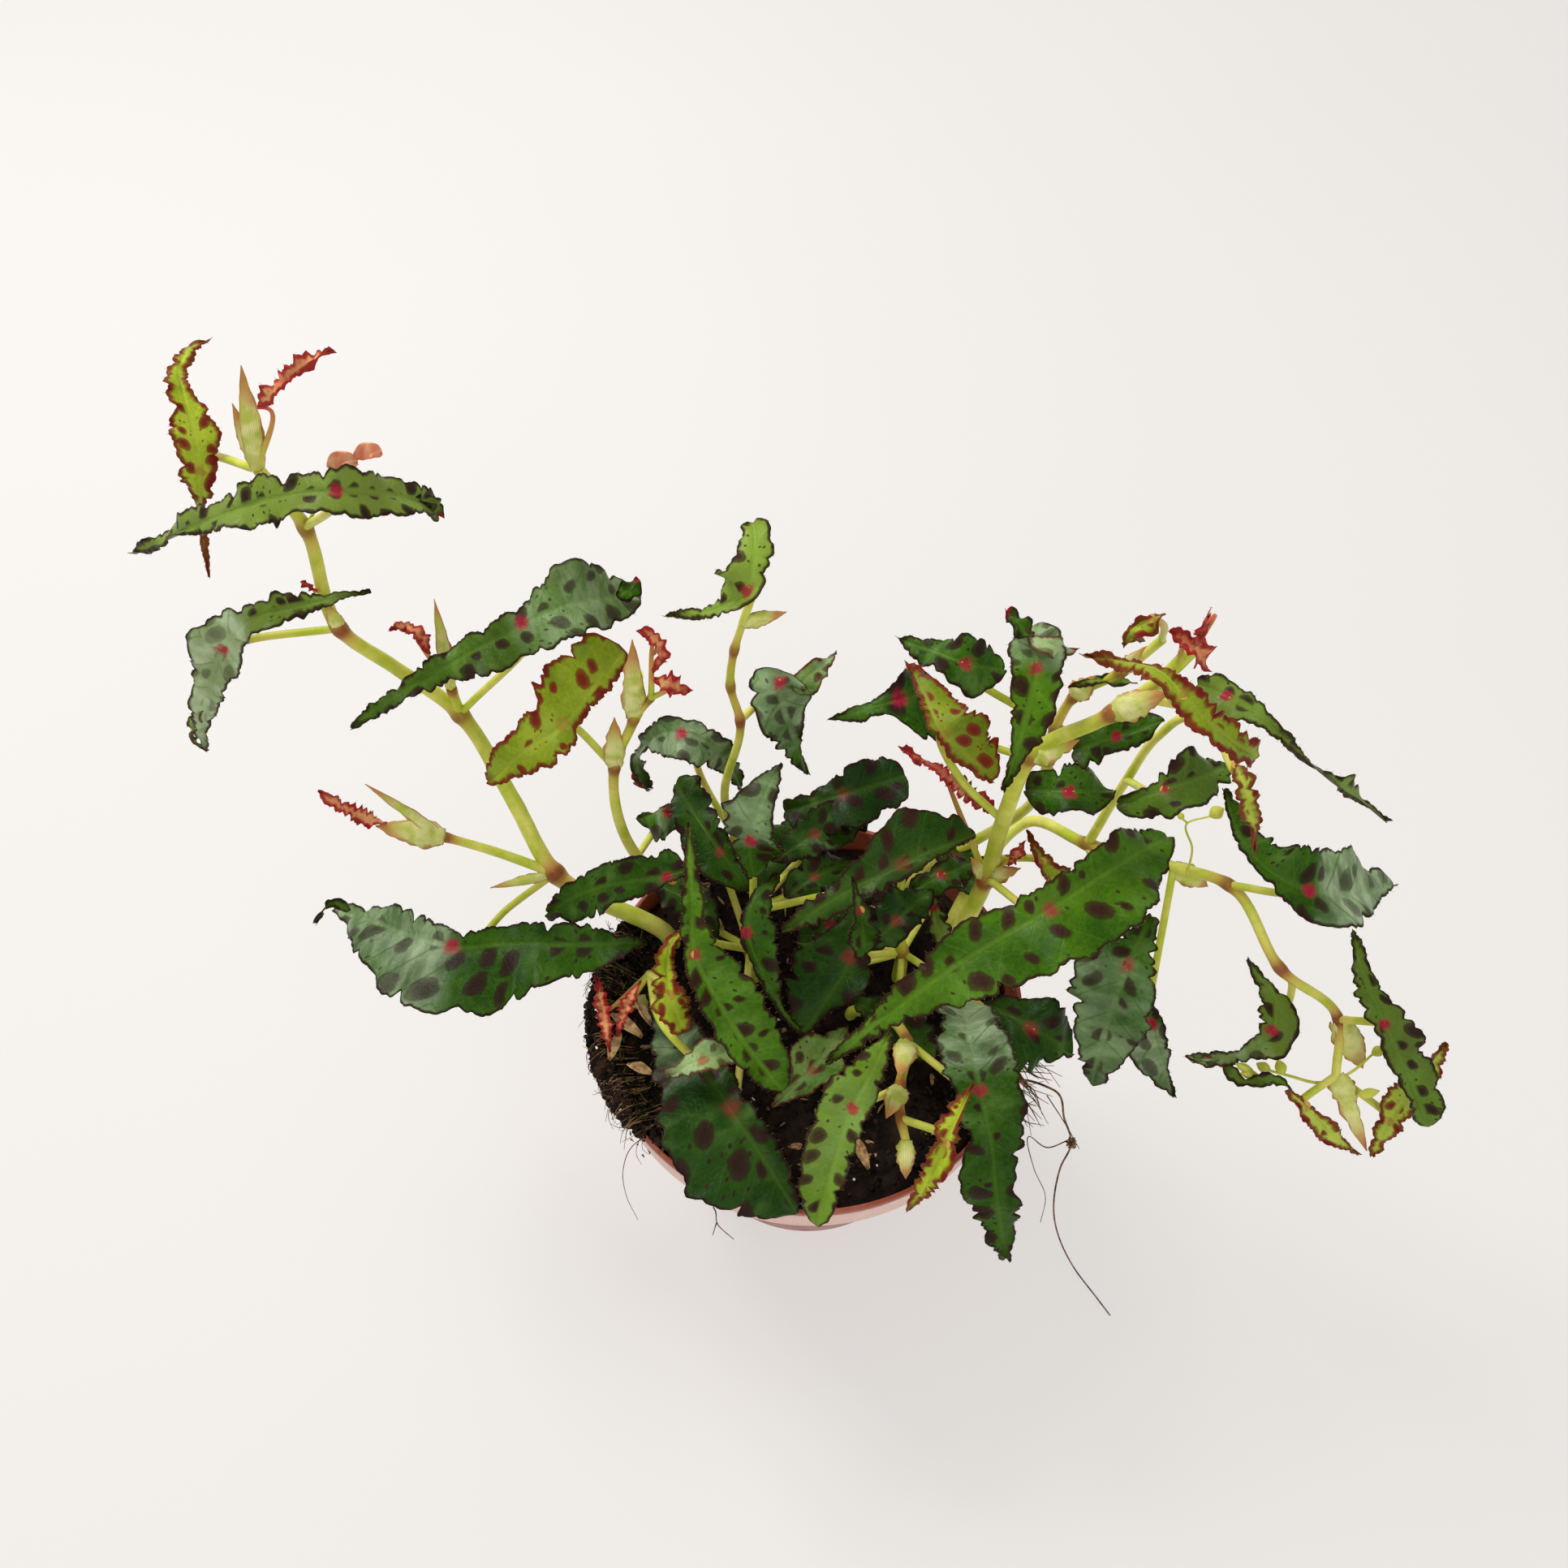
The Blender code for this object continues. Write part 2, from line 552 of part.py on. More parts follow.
        (1674, 1423, 86), (1640, 1392, 93), (1610, 1362, 97), (1586, 1342, 99)], 2,
        (0.5, 2.6, 4.3, 3.9, 1.2), (0.5, 1.6, 2.1, 1.3, 0.8)),
    leaf("leaf_trailing_5", "young", "cane_trailing", 8, [
        (1782, 1283, 96), (1750, 1330, 90), (1712, 1380, 84), (1690, 1425, 76)], 2,
        (1.5, 4, 4.5, 4, 2), (1, 1.5, 5, 3, 2)),
    leaf("leaf_right_1", "dark", "cane_trailing", 3, [
        (1420, 1128, 118), (1390, 1190, 118), (1368, 1250, 110), (1345, 1338, 90)], 1,
        (2, 5.3, 9.2, 10.5, 6.5, 3), (1.5, 6.5, 14.5, 10, 5.3, 3)),
    leaf("leaf_right_2", "dark", "cane_trailing", 4, [
        (1447, 1352, 80), (1432, 1310, 88), (1418, 1262, 93), (1408, 1205, 95)], 2,
        (0.5, 5.2, 8, 7, 4), (0.5, 2.1, 3.6, 3, 2.8)),
    leaf("leaf_right_3", "dark", "stem_middle_right", 2, [
        (1213, 1234, 97), (1270, 1266, 100), (1322, 1298, 90)], 1,
        (1, 5.7, 9.6, 8.5, 6), (2, 4.6, 13.5, 6.4, 1.5)),
    # front of the pot
    leaf("leaf_front_1", "dark", "stem_middle_left", 2, [
        (800, 1222, 94), (850, 1294, 101), (899, 1366, 105), (945, 1435, 101), (984, 1497, 94)],
        2, (1, 5, 6, 7, 5, 5.5, 5, 1.5), (2, 5, 10, 15, 18.3, 21, 14.5, 4)),
    leaf("leaf_front_2", "bright", "shoot_front", 4, [
        (1098, 1268, 118), (1076, 1318, 120), (1050, 1366, 117), (1030, 1425, 110),
        (1006, 1512, 98)], 2, (0.6, 3, 4.6, 4.3, 3.8, 3), (0.6, 5.2, 8.2, 8.4, 7.3, 4)),
    leaf("leaf_front_3", "dark", "shoot_front", 3, [
        (1240, 1552, 76), (1228, 1470, 98), (1220, 1400, 109), (1208, 1345, 113),
        (1196, 1290, 113), (1186, 1230, 107)], 3,
        (1.5, 5.2, 7.5, 9.8, 7.5, 8.5, 8, 6), (1, 4.3, 5.6, 7.5, 10, 10.7, 8.2, 6)),
    leaf("leaf_front_4", "young", "shoot_front", 5, [
        (1200, 1334, 126), (1182, 1375, 124), (1165, 1410, 120), (1120, 1492, 102)], 2,
        (0.5, 1.1, 4.1, 3.5, 1), (0.5, 4.4, 3.3, 2.8, 1.2)),
    leaf("leaf_front_5", "pale", "shoot_low_left", 2, [
        (820, 1326, 109), (866, 1306, 113), (910, 1292, 109)], 1,
        (1.5, 2.4, 4.5, 4, 1), (1, 2.6, 4.2, 4, 3.5), [seen(816, 1262, 105)]),
    leaf("leaf_front_6", "young", "shoot_low_left", 2, [
        (858, 1130, 122), (825, 1172, 122), (826, 1225, 118), (842, 1272, 110)], 2,
        (0.5, 1.5, 2.2, 4.8, 3.5), (0.5, 2.7, 4.4, 5.4, 4)),
    # crown over the soil
    leaf("leaf_crown_1", "bright", "stem_middle_left", 2, [
        (848, 1010, 152), (850, 1060, 149), (852, 1112, 143), (857, 1176, 134), (885, 1235, 124),
        (920, 1290, 114), (966, 1346, 104)], 3,
        (0.6, 2, 3.7, 6.5, 10, 10.2, 9.2, 4), (0.6, 1.6, 2.9, 3.7, 4.8, 5.5, 4.6, 3)),
    leaf("leaf_crown_2", "dark", "stem_middle_left", 3, [
        (959, 1077, 120), (927, 1113, 120), (921, 1150, 117), (940, 1200, 111),
        (968, 1248, 104), (988, 1275, 99)], 2,
        (1.5, 5.3, 7.6, 5.3, 1.2, 1.5), (1, 2, 2.2, 2, 1.8, 1.2)),
    leaf("leaf_crown_3", "dark", "stem_middle_right", 2, [
        (1050, 1082, 114), (1052, 1130, 111), (1048, 1180, 106), (1020, 1230, 100),
        (988, 1274, 94)], 2, (0.6, 2.5, 5.3, 7, 4.5, 2), (0.6, 2.3, 12.5, 16, 12, 5)),
    leaf("leaf_crown_4", "bright", "stem_middle_right", 3, [
        (962, 1148, 124), (1010, 1118, 130), (1060, 1090, 136), (1110, 1066, 140),
        (1160, 1044, 141), (1204, 1030, 137)], 3,
        (0.8, 3.2, 4.2, 7.8, 13, 9.6, 3), (1, 3.7, 4.5, 4.5, 3.5, 2, 0.6)),
    leaf("leaf_crown_5", "dark", "stem_middle_left", 3, [
        (966, 1000, 108), (1040, 978, 117), (1116, 955, 118)], 1,
        (3, 3.2, 6, 7.3, 7), (5, 10, 11.2, 9, 8)),
    leaf("leaf_crown_6", "dark", "stem_middle_left", 3, [
        (964, 940, 142), (940, 985, 139), (924, 1035, 132), (928, 1081, 122)], 2,
        (0.8, 3.5, 5.2, 9, 4), (0.8, 5.8, 9.6, 4.5, 3)),
    leaf("leaf_crown_7", "dark", "stem_middle_left", 2, [
        (922, 1098, 106), (888, 1050, 112), (855, 1003, 112), (832, 966, 106)], 1,
        (2, 8, 8, 5.3, 2), (2, 4, 5.2, 7, 7)),
    leaf("leaf_crown_8", "pale", "stem_middle_right", 2, [
        (950, 1365, 87), (1000, 1318, 91), (1042, 1265, 88)], 1,
        (1, 3, 8, 5.6, 2), (1, 3.5, 7, 5.5, 2), [stands(4, 6, 88)]),
    leaf("leaf_crown_9", "dark", "stem_middle_right", 3, [
        (1141, 1074, 118), (1150, 1120, 116), (1163, 1165, 110)], 1,
        (0.4, 1.6, 2.6, 3.5, 3.5), (0.4, 0.8, 1.4, 3, 3)),
    leaf("leaf_crown_10", "dark", "stem_middle_right", 3, [
        (1120, 1098, 118), (1160, 1078, 122), (1198, 1062, 118)], 1,
        (2, 3, 3.5, 3.5, 3), (4, 5.5, 6, 4.6, 3)),
    leaf("leaf_crown_11", "dark", "cane_left_middle", 2, [
        (784, 1008, 104), (822, 1002, 106), (846, 1012, 102)], 1,
        (1, 1.2, 2, 3, 2), (2, 7.8, 8.7, 6, 4)),
]

# Small leaves and papery stipules that are fused to their stems
LEAVES += [
    sprout("cane_left", 8, [
        (412, 431, 258), (385, 443, 256), (352, 468, 252), (318, 502, 246)], 3,
        (0.4, 1.2, 1.4, 1.8, 1.5), (0.4, 2.6, 2.8, 2.8, 1.5)),
    sprout("cane_left_side", 2, [
        (391, 974, 138), (420, 993, 134), (447, 1006, 130), (476, 1014, 127)], 3,
        (0.6, 2, 2.6, 2.6, 1.5), (0.6, 2, 2.6, 3, 1.5)),
    sprout("cane_left_bud", 1, [
        (480, 778, 170), (500, 771, 171), (518, 784, 168), (530, 806, 162)], 2,
        (0.5, 1.6, 2.2, 2, 1), (0.5, 1.6, 2.2, 2, 1)),
    sprout("cane_left", 6.4, [(370, 717, 190), (390, 727, 187)], 1, (1, 1.6, 1), (1, 1.6, 1)),
    sprout("cane_left_middle_bud", 1, [
        (850, 853, 176), (828, 843, 179), (806, 837, 178)], 1, (1, 3.2, 2), (1, 3, 2)),
    sprout("cane_left_middle_bud", 1, [
        (784, 777, 198), (800, 781, 198), (813, 800, 194), (809, 826, 187)], 2,
        (0.5, 1.8, 2.4, 2, 1), (0.5, 1.8, 2.4, 2, 1)),
    sprout("shoot_low_left", 2, [(735, 1204, 98), (743, 1245, 99), (752, 1297, 94)], 1,
           (0.6, 2, 2.6, 2, 0.6), (0.6, 2, 2.6, 2, 0.6)),
    sprout("shoot_low_left", 2, [
        (790, 1208, 106), (774, 1236, 104), (760, 1278, 99)], 1,
        (0.6, 2, 2.4, 1.6, 0.6), (0.6, 2, 2.4, 1.6, 0.6)),
    sprout("cane_centre", 2, [(1262, 1036, 142), (1253, 1052, 138), (1242, 1066, 132)], 1,
           (0.6, 2, 1), (0.6, 2, 1)),
    sprout("cane_centre", 7, [(1491, 756, 252), (1482, 776, 245), (1471, 798, 236)], 1,
           (0.4, 1.2, 0.8), (0.4, 1.2, 0.8)),
    sprout("cane_centre", 6.6, [
        (1440, 778, 238), (1466, 793, 238), (1488, 824, 231)], 1, (0.6, 3.2, 1.5), (0.6, 3.4, 1.5)),
]

STIPULES = [
    stipule("cane_left", 8, 5, (297, 450, 252)),
    stipule("cane_left", 8, 4, (286, 497, 240)),
    stipule("cane_left", 6, 4, (402, 744, 184)),
    stipule("cane_left_bud", 1, 4, (535, 738, 178)),
    stipule("cane_left_side", 2, 8, (463, 1018, 127)),
    stipule("cane_left_side", 2, 3, (450, 966, 142)),
    stipule("cane_left", 2, 3, (604, 1094, 103)),
    stipule("cane_left_middle", 3, 6, (757, 884, 157)),
    stipule("cane_left_middle", 4, 6, (779, 788, 192)),
    stipule("cane_back", 6, 4, (969, 754, 192)),
    stipule("cane_centre", 2, 4.5, (1196, 1056, 130)),
    stipule("cane_centre", 2, 5, (1258, 1070, 134)),
    stipule("cane_centre", 4, 7, (1330, 912, 188)),
    stipule("cane_centre", 5, 7, (1442, 852, 219)),
    stipule("cane_rear", 4, 6, (1350, 832, 190)),
    stipule("cane_rear", 5, 4, (1414, 796, 206)),
    stipule("cane_trailing", 4, 6, (1488, 1092, 114)),
    stipule("cane_trailing", 7, 8, (1679, 1316, 90)),
    stipule("cane_trailing", 8, 7, (1668, 1366, 86)),
    stipule("cane_trailing", 8, 5, (1684, 1418, 76)),
    stipule("shoot_front", 3, 7, (1108, 1328, 109)),
    stipule("shoot_front", 4, 6, (1092, 1378, 111)),
    stipule("shoot_front", 6, 5, (1116, 1452, 102)),
    stipule("shoot_low_left", 1, 4, (757, 1240, 92)),
]

TERRACOTTA = (0.42, 0.12, 0.07)
PEAT = (0.02, 0.015, 0.012)
STEM_GREEN = (0.42, 0.5, 0.12)
TONES = {
    "dark": (0.035, 0.105, 0.03),
    "bright": (0.085, 0.22, 0.035),
    "young": (0.33, 0.42, 0.06),
    "pale": (0.25, 0.4, 0.2),
    "red": (0.4, 0.05, 0.04),
}


def route_of(name):
    """The smooth route of a stem, or of a twig from the middle of its parent's knot."""
    row = next(row for row in STEMS + TWIGS if row.name == name)
    if row.parent is None:
        return Route(row.route)
    parent = route_of(row.parent)
    return Route([parent.at(parent.share_at(row.knot)), *row.route])


def sides_of(row):
    return THICK_SIDES if row.thick[0] > THICK else THIN_SIDES


def stem_tube(row):
    """A round stem with swollen knots."""
    route = route_of(row.name)
    knots = [route.share_at(i) for i in row.knots]

    def radius_at(share):
        radius = row.thick[0] + (row.thick[1] - row.thick[0]) * share
        for knot in knots:
            radius *= 1 + SWELL * exp(-((share - knot) * route.length / SWELL_LENGTH) ** 2)
        return radius

    shares = {0.0, 1.0}
    for i in range(1, len(row.route) - 1):
        shares.add(route.share_at(i))
    for knot in knots:
        for side in (-KNOT_RINGS, KNOT_RINGS):
            shares.add(min(max(knot + side * SWELL_LENGTH / route.length, 0.0), 1.0))
    return tube(row.name, route, sorted(shares), radius_at, sides_of(row))


def stipule_solid(row):
    """A flattened sheath that wraps its knot and narrows to a point."""
    stem_route = route_of(row.on)
    foot = stem_route.at(stem_route.share_at(row.knot))
    along = (seen(*row.tip) - foot).normalized()
    face = EYE - foot
    across = along.cross(face).normalized()
    off = across.cross(along)
    rings = []
    for share, full in SHEATH:
        middle = foot.lerp(seen(*row.tip), share)
        wide = across * row.width / 2 * full
        deep = off * row.width / 2 * full * SHEATH_DEPTH
        rings.append([middle + wide, middle + deep, middle - wide, middle - deep])
    return skinned("stipule", rings)


def plant_stem(row):
    """One body of a stem and all that is fused to it."""
    host = stem_tube(row)
    growth = []
    parts = [row.name]
    for shoot in TWIGS:
        if shoot.parent == row.name:
            growth.append(stem_tube(shoot))
            parts.append(shoot.name)
    for leaf_row in LEAVES:
        if leaf_row.on in parts:
            growth.append(leaf_stalk(leaf_row))
            if leaf_row.fused:
                growth.append(blade_solid(leaf_row))
    for sheath in STIPULES:
        if sheath.on in parts:
            growth.append(stipule_solid(sheath))
    join_all(host, growth)
    finish_colour(host, "stem_green", STEM_GREEN, 0.45)


# Pot and soil


def turned(name, profile):
    """A closed body turned about the pot's axis from a profile of radius and height."""
    points = []
    rings = []
    for radius, height in profile:
        if radius == 0:
            rings.append([len(points)] * POT_SIDES)
            points.append((0, 0, height))
            continue
        rings.append([len(points) + k for k in range(POT_SIDES)])
        for k in range(POT_SIDES):
            turn = 2 * pi * k / POT_SIDES
            points.append((radius * cos(turn), radius * sin(turn), height))
    faces = []
    for lower, upper in zip(rings, rings[1:]):
        for k in range(POT_SIDES):
            after = (k + 1) % POT_SIDES
            corners = [lower[k], lower[after], upper[after], upper[k]]
            faces.append(tuple(dict.fromkeys(corners)))
    solid = new_object(name, points, faces)
    set_outward(solid)
    return solid


def pot_solid():
    lip_foot = POT_HEIGHT - LIP_HEIGHT
    profile = [
        (0, 0), (FOOT_RADIUS, 0),
        (WALL_TOP_RADIUS, lip_foot), (LIP_FOOT_RADIUS, lip_foot), (RIM_RADIUS, POT_HEIGHT),
        (RIM_RADIUS - WALL, POT_HEIGHT), (LIP_FOOT_RADIUS - WALL, lip_foot + WALL),
        (WALL_TOP_RADIUS - WALL, lip_foot + WALL), (FOOT_RADIUS - WALL, BASE), (0, BASE)]
    pot = turned("pot", profile)
    holes = []
    for k in range(DRAINS):
        turn = 2 * pi * (k + DRAIN_TURN) / DRAINS
        bpy.ops.mesh.primitive_cylinder_add(
            vertices=DRAIN_SIDES, radius=DRAIN_RADIUS, depth=8 * BASE,
            location=(DRAIN_RING * cos(turn), DRAIN_RING * sin(turn), 0))
        holes.append(bpy.context.object)
    cut_all(pot, holes)
    finish_colour(pot, "terracotta_plastic", TERRACOTTA, 0.45)


def cut_all(host, cutters):
    for cutter in cutters:
        cut = host.modifiers.new("cut", "BOOLEAN")
        cut.operation = "DIFFERENCE"
        cut.object = cutter
        cut.solver = "EXACT"
    finish_shape(host)
    for cutter in cutters:
        bpy.data.objects.remove(cutter)


def soil_top(x, y):
    """Uneven peat, higher towards the left rim."""
    rise = SOIL_RISE * max(0.0, -x / RIM_RADIUS) ** 1.5
    lumps = SOIL_LUMP * (sin(x * 210 + 1) * cos(y * 170) + 0.5 * sin(y * 390 + x * 130))
    return SOIL_LEVEL + rise + lumps


def soil_solid():
    ledge = POT_HEIGHT - LIP_HEIGHT + WALL + SOIL_GAP
    edge = LIP_FOOT_RADIUS - WALL - SLANT_GAP
    profile = [
        (0, BASE + SOIL_GAP), (FOOT_RADIUS - WALL - SOIL_GAP, BASE + SOIL_GAP),
        (WALL_TOP_RADIUS - WALL - SLANT_GAP, ledge), (edge - SOIL_GAP, ledge),
        (edge, SOIL_LEVEL), *((edge * ring, SOIL_LEVEL) for ring in SOIL_RINGS), (0, SOIL_LEVEL)]
    soil = turned("soil", profile)
    for vertex in soil.data.vertices:
        if vertex.co.z > ledge + SOIL_GAP:
            vertex.co.z = soil_top(vertex.co.x, vertex.co.y)
    holes = []
    for row in STEMS:
        radius = (row.thick[0] + HOLE_GAP) / cos(pi / sides_of(row))
        foot = row.route[0]
        bpy.ops.mesh.primitive_cylinder_add(
            vertices=sides_of(row), radius=radius, depth=(HOLE_TOP - HOLE_FOOT) * MM,
            location=(foot.x, foot.y, (HOLE_TOP + HOLE_FOOT) / 2 * MM))
        holes.append(bpy.context.object)
    cut_all(soil, holes)
    finish_colour(soil, "peat", PEAT, 0.9)


def main():
    for obj in list(bpy.data.objects):
        bpy.data.objects.remove(obj)
    pot_solid()
    soil_solid()
    for row in STEMS:
        plant_stem(row)
    for row in LEAVES:
        if not row.fused:
            finish_colour(blade_solid(row), "leaf_" + row.tone, TONES[row.tone], 0.35)


main()
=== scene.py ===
import json
import random
from collections import namedtuple
from math import cos, exp, pi, radians, sin, sqrt, tan

import bmesh
import bpy
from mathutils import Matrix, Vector, noise

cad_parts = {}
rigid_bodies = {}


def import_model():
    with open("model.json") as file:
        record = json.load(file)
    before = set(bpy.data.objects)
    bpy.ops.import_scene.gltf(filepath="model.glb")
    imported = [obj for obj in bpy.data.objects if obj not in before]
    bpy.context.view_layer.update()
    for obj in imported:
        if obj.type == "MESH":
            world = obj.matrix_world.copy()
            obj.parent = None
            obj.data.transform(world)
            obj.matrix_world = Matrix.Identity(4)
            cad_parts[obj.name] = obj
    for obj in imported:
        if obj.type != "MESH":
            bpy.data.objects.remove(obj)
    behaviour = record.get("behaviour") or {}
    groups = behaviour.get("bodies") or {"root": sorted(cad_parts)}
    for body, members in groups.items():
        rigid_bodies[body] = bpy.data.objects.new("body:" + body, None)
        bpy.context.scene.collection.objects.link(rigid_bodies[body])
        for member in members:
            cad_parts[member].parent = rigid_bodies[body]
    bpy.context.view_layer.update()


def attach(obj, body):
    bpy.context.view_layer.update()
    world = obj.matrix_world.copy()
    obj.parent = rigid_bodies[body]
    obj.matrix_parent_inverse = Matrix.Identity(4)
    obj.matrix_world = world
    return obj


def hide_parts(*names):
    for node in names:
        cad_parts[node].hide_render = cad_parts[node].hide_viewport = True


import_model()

# --- Camera -----------------------------------------------------------------------------------
# The plant is looked at from close above its front. A place on it is given as a pixel of that
# view, 1932 pixels square, with the height of the point above the pot's foot in mm.
MM = 0.001
EYE = Vector((-7.4, -180.4, 477.4)) * MM
EYE_DOWN = radians(57)
EYE_REACH = 1860
VIEW_WIDTH = 1932
VIEW_MIDDLE = 966
SENSOR_WIDTH = 36
NEAREST = 0.01


def seen(u, v, height):
    """The point at a height in mm that shows at a pixel of the view."""
    ahead = Vector((0, cos(EYE_DOWN), -sin(EYE_DOWN)))
    above = Vector((0, sin(EYE_DOWN), cos(EYE_DOWN)))
    aside = Vector((1, 0, 0))
    ray = ahead + aside * (u - VIEW_MIDDLE) / EYE_REACH - above * (v - VIEW_MIDDLE) / EYE_REACH
    return EYE + ray * (height * MM - EYE.z) / ray.z


lens = bpy.data.cameras.new("camera")
lens.sensor_width = SENSOR_WIDTH
lens.lens = SENSOR_WIDTH * EYE_REACH / VIEW_WIDTH
lens.clip_start = NEAREST
camera = bpy.data.objects.new("camera", lens)
camera.location = EYE
camera.rotation_euler = (pi / 2 - EYE_DOWN, 0, 0)
bpy.context.scene.collection.objects.link(camera)
bpy.context.scene.camera = camera

# --- Light and floor --------------------------------------------------------------------------
# A pale, matt studio floor that glows faintly, so that shadows stay weak, under an even sky with
# two wide soft lamps, which put faint highlights on the glossy leaves and the plastic lip; their
# broad highlights are painted into the colours.
FLOOR_HALF = 3
FLOOR_GRAIN = 0.5
SKY_COLOUR = (1, 0.99, 0.98, 1)
SKY_GLOW = 0.52


class Value:
    """A socket of a finish. A sign between two of them, or with a plain number, adds a node."""

    def __init__(self, finish, socket):
        self.finish = finish
        self.socket = socket

    def maths(self, operation, *numbers):
        settings = {"operation": operation}
        return self.finish.node("ShaderNodeMath", settings, dict(enumerate(numbers)))

    def __add__(self, other):
        return self.maths("ADD", self, other)

    __radd__ = __add__

    def __sub__(self, other):
        return self.maths("SUBTRACT", self, other)

    def __rsub__(self, other):
        return self.maths("SUBTRACT", other, self)

    def __mul__(self, other):
        return self.maths("MULTIPLY", self, other)

    __rmul__ = __mul__

    def __truediv__(self, other):
        return self.maths("DIVIDE", self, other)

    def __abs__(self):
        return self.maths("ABSOLUTE", self)

    def least(self, other):
        return self.maths("MINIMUM", self, other)

    def most(self, other):
        return self.maths("MAXIMUM", self, other)

    def repeat(self):
        """What is left of the number past its last whole one."""
        return self.maths("FRACT", self)

    def between(self, low, high):
        """Rises smoothly from 0 to 1 as the number goes from low to high."""
        settings = {"interpolation_type": "SMOOTHSTEP"}
        return self.finish.node("ShaderNodeMapRange", settings, {0: self, 1: low, 2: high})


class Finish:
    """A material. Each of its nodes comes from node(), its colours from mixed()."""

    def __init__(self, name, roughness=0.5, specular=0.5):
        self.material = bpy.data.materials.new(name)
        self.material.use_nodes = True
        self.tree = self.material.node_tree
        self.shader = self.tree.nodes["Principled BSDF"]
        self.feed(self.shader, {"Roughness": roughness, "Specular IOR Level": specular})

    def feed(self, made, values):
        """Gives the sockets of a node their constants or links."""
        for key, value in values.items():
            if isinstance(value, Value):
                self.tree.links.new(value.socket, made.inputs[key])
            else:
                made.inputs[key].default_value = value

    def node(self, kind, settings, values, out=0):
        """Adds a node and gives the value of one of its outputs."""
        made = self.tree.nodes.new(kind)
        for key, value in settings.items():
            setattr(made, key, value)
        self.feed(made, values)
        return Value(self, made.outputs[out])

    def mixed(self, first, second, share):
        """The second colour laid over the first one by a share from 0 to 1."""
        settings = {"data_type": "RGBA"}
        return self.node("ShaderNodeMix", settings, {0: share, 6: first, 7: second}, out=2)

    def place(self):
        """The place on the piece in metres."""
        return self.node("ShaderNodeTexCoord", {}, {}, out=3)

    def carried(self, name):
        """The three numbers that the mesh carries under a name."""
        both = self.node("ShaderNodeAttribute", {"attribute_name": name}, {}, out=1)
        parts = self.tree.nodes.new("ShaderNodeSeparateXYZ")
        self.tree.links.new(both.socket, parts.inputs[0])
        return [Value(self, part) for part in parts.outputs]

    def cloud(self, place, size, detail=3.0, rough=0.55):
        """Soft noise whose patches are about that size in metres, or in the place's own unit."""
        values = {"Vector": place, "Scale": 1 / size, "Detail": detail, "Roughness": rough}
        return self.node("ShaderNodeTexNoise", {}, values)

    def raised(self, height, distance, strength=1.0):
        """Shows a height from 0 to 1 as relief that is distance metres deep."""
        values = {"Strength": strength, "Distance": distance, "Height": height}
        self.feed(self.shader, {"Normal": self.node("ShaderNodeBump", {}, values)})


def tint(red, green, blue):
    """A colour by its screen values from 0 to 255."""
    linear = [((v / 255 + 0.055) / 1.055) ** 2.4 if v > 10 else v / 255 / 12.92
              for v in (red, green, blue)]
    return (*linear, 1.0)


def new_piece(name, points, faces, edges=()):
    """An object with a smooth mesh of its own."""
    mesh = bpy.data.meshes.new(name)
    mesh.from_pydata([tuple(p) for p in points], edges, faces)
    mesh.polygons.foreach_set("use_smooth", [True] * len(mesh.polygons))
    piece = bpy.data.objects.new(name, mesh)
    bpy.context.scene.collection.objects.link(piece)
    return piece


corners = [(-1, -1), (1, -1), (1, 1), (-1, 1)]
corners = [(x * FLOOR_HALF, y * FLOOR_HALF, 0) for x, y in corners]
floor = new_piece("floor", corners, [(0, 1, 2, 3)])
floor_finish = Finish("floor_paper", 0.75)
grain = floor_finish.cloud(floor_finish.place(), FLOOR_GRAIN)
floor_finish.feed(floor_finish.shader, {
    "Base Color": floor_finish.mixed(tint(150, 147, 144), tint(142, 139, 136), grain),
    "Emission Color": tint(194, 192, 190), "Emission Strength": 1.0})
floor.data.materials.append(floor_finish.material)

world = bpy.data.worlds.new("sky")
bpy.context.scene.world = world
world.use_nodes = True
sky = world.node_tree.nodes["Background"].inputs
sky["Color"].default_value = SKY_COLOUR
sky["Strength"].default_value = SKY_GLOW
bpy.context.scene.view_settings.view_transform = "Standard"


def lamp(name, place, aim, size, power):
    """A square lamp turned to its aim, with the length of its sides and its power in watts."""
    light = bpy.data.lights.new(name, "AREA")
    light.size = size
    light.energy = power
    lit = bpy.data.objects.new(name, light)
    lit.location = place
    lit.rotation_euler = (aim - place).to_track_quat("-Z", "Y").to_euler()
    bpy.context.scene.collection.objects.link(lit)


lamp("window", Vector((-0.5, 0.55, 0.95)), Vector((0, 0, 0.1)), 0.45, 9.0)
lamp("fill", Vector((0.3, -0.8, 0.9)), Vector((0, -0.05, 0.1)), 0.9, 4.1)

# --- Pot --------------------------------------------------------------------------------------
# A thin-walled nursery pot, injection-moulded in terracotta-coloured plastic, with a deep lip
# that steps out from the wall and six drain holes in its base.
POT_TURNS = 144
RIM_RADIUS = 60 * MM
LIP_FOOT_RADIUS = 59 * MM
WALL_TOP_RADIUS = 55.5 * MM
FOOT_RADIUS = 39 * MM
POT_HEIGHT = 86 * MM
LIP_HEIGHT = 14 * MM
WALL = 1.3 * MM
BASE = 1.5 * MM
ROUND = 0.45 * MM
ROUND_STEPS = 3
SIDE_SHARE = 2.5
LIP_SLANT = (RIM_RADIUS - LIP_FOOT_RADIUS) / LIP_HEIGHT
WALL_SLANT = (WALL_TOP_RADIUS - FOOT_RADIUS) / (POT_HEIGHT - LIP_HEIGHT)
# Heights over which the painted highlight on the outside of the lip fades out below the rim.
LIP_HIGHLIGHT_END = (82.6 * MM, 84 * MM)
# Heights over which the painted shade inside the pot fades out towards the rim.
INNER_SHADE_END = (74 * MM, 83 * MM)
SHARP_EDGE = radians(50)
DRAINS = 6
DRAIN_RADIUS = 3.5 * MM
DRAIN_SIDES = 32
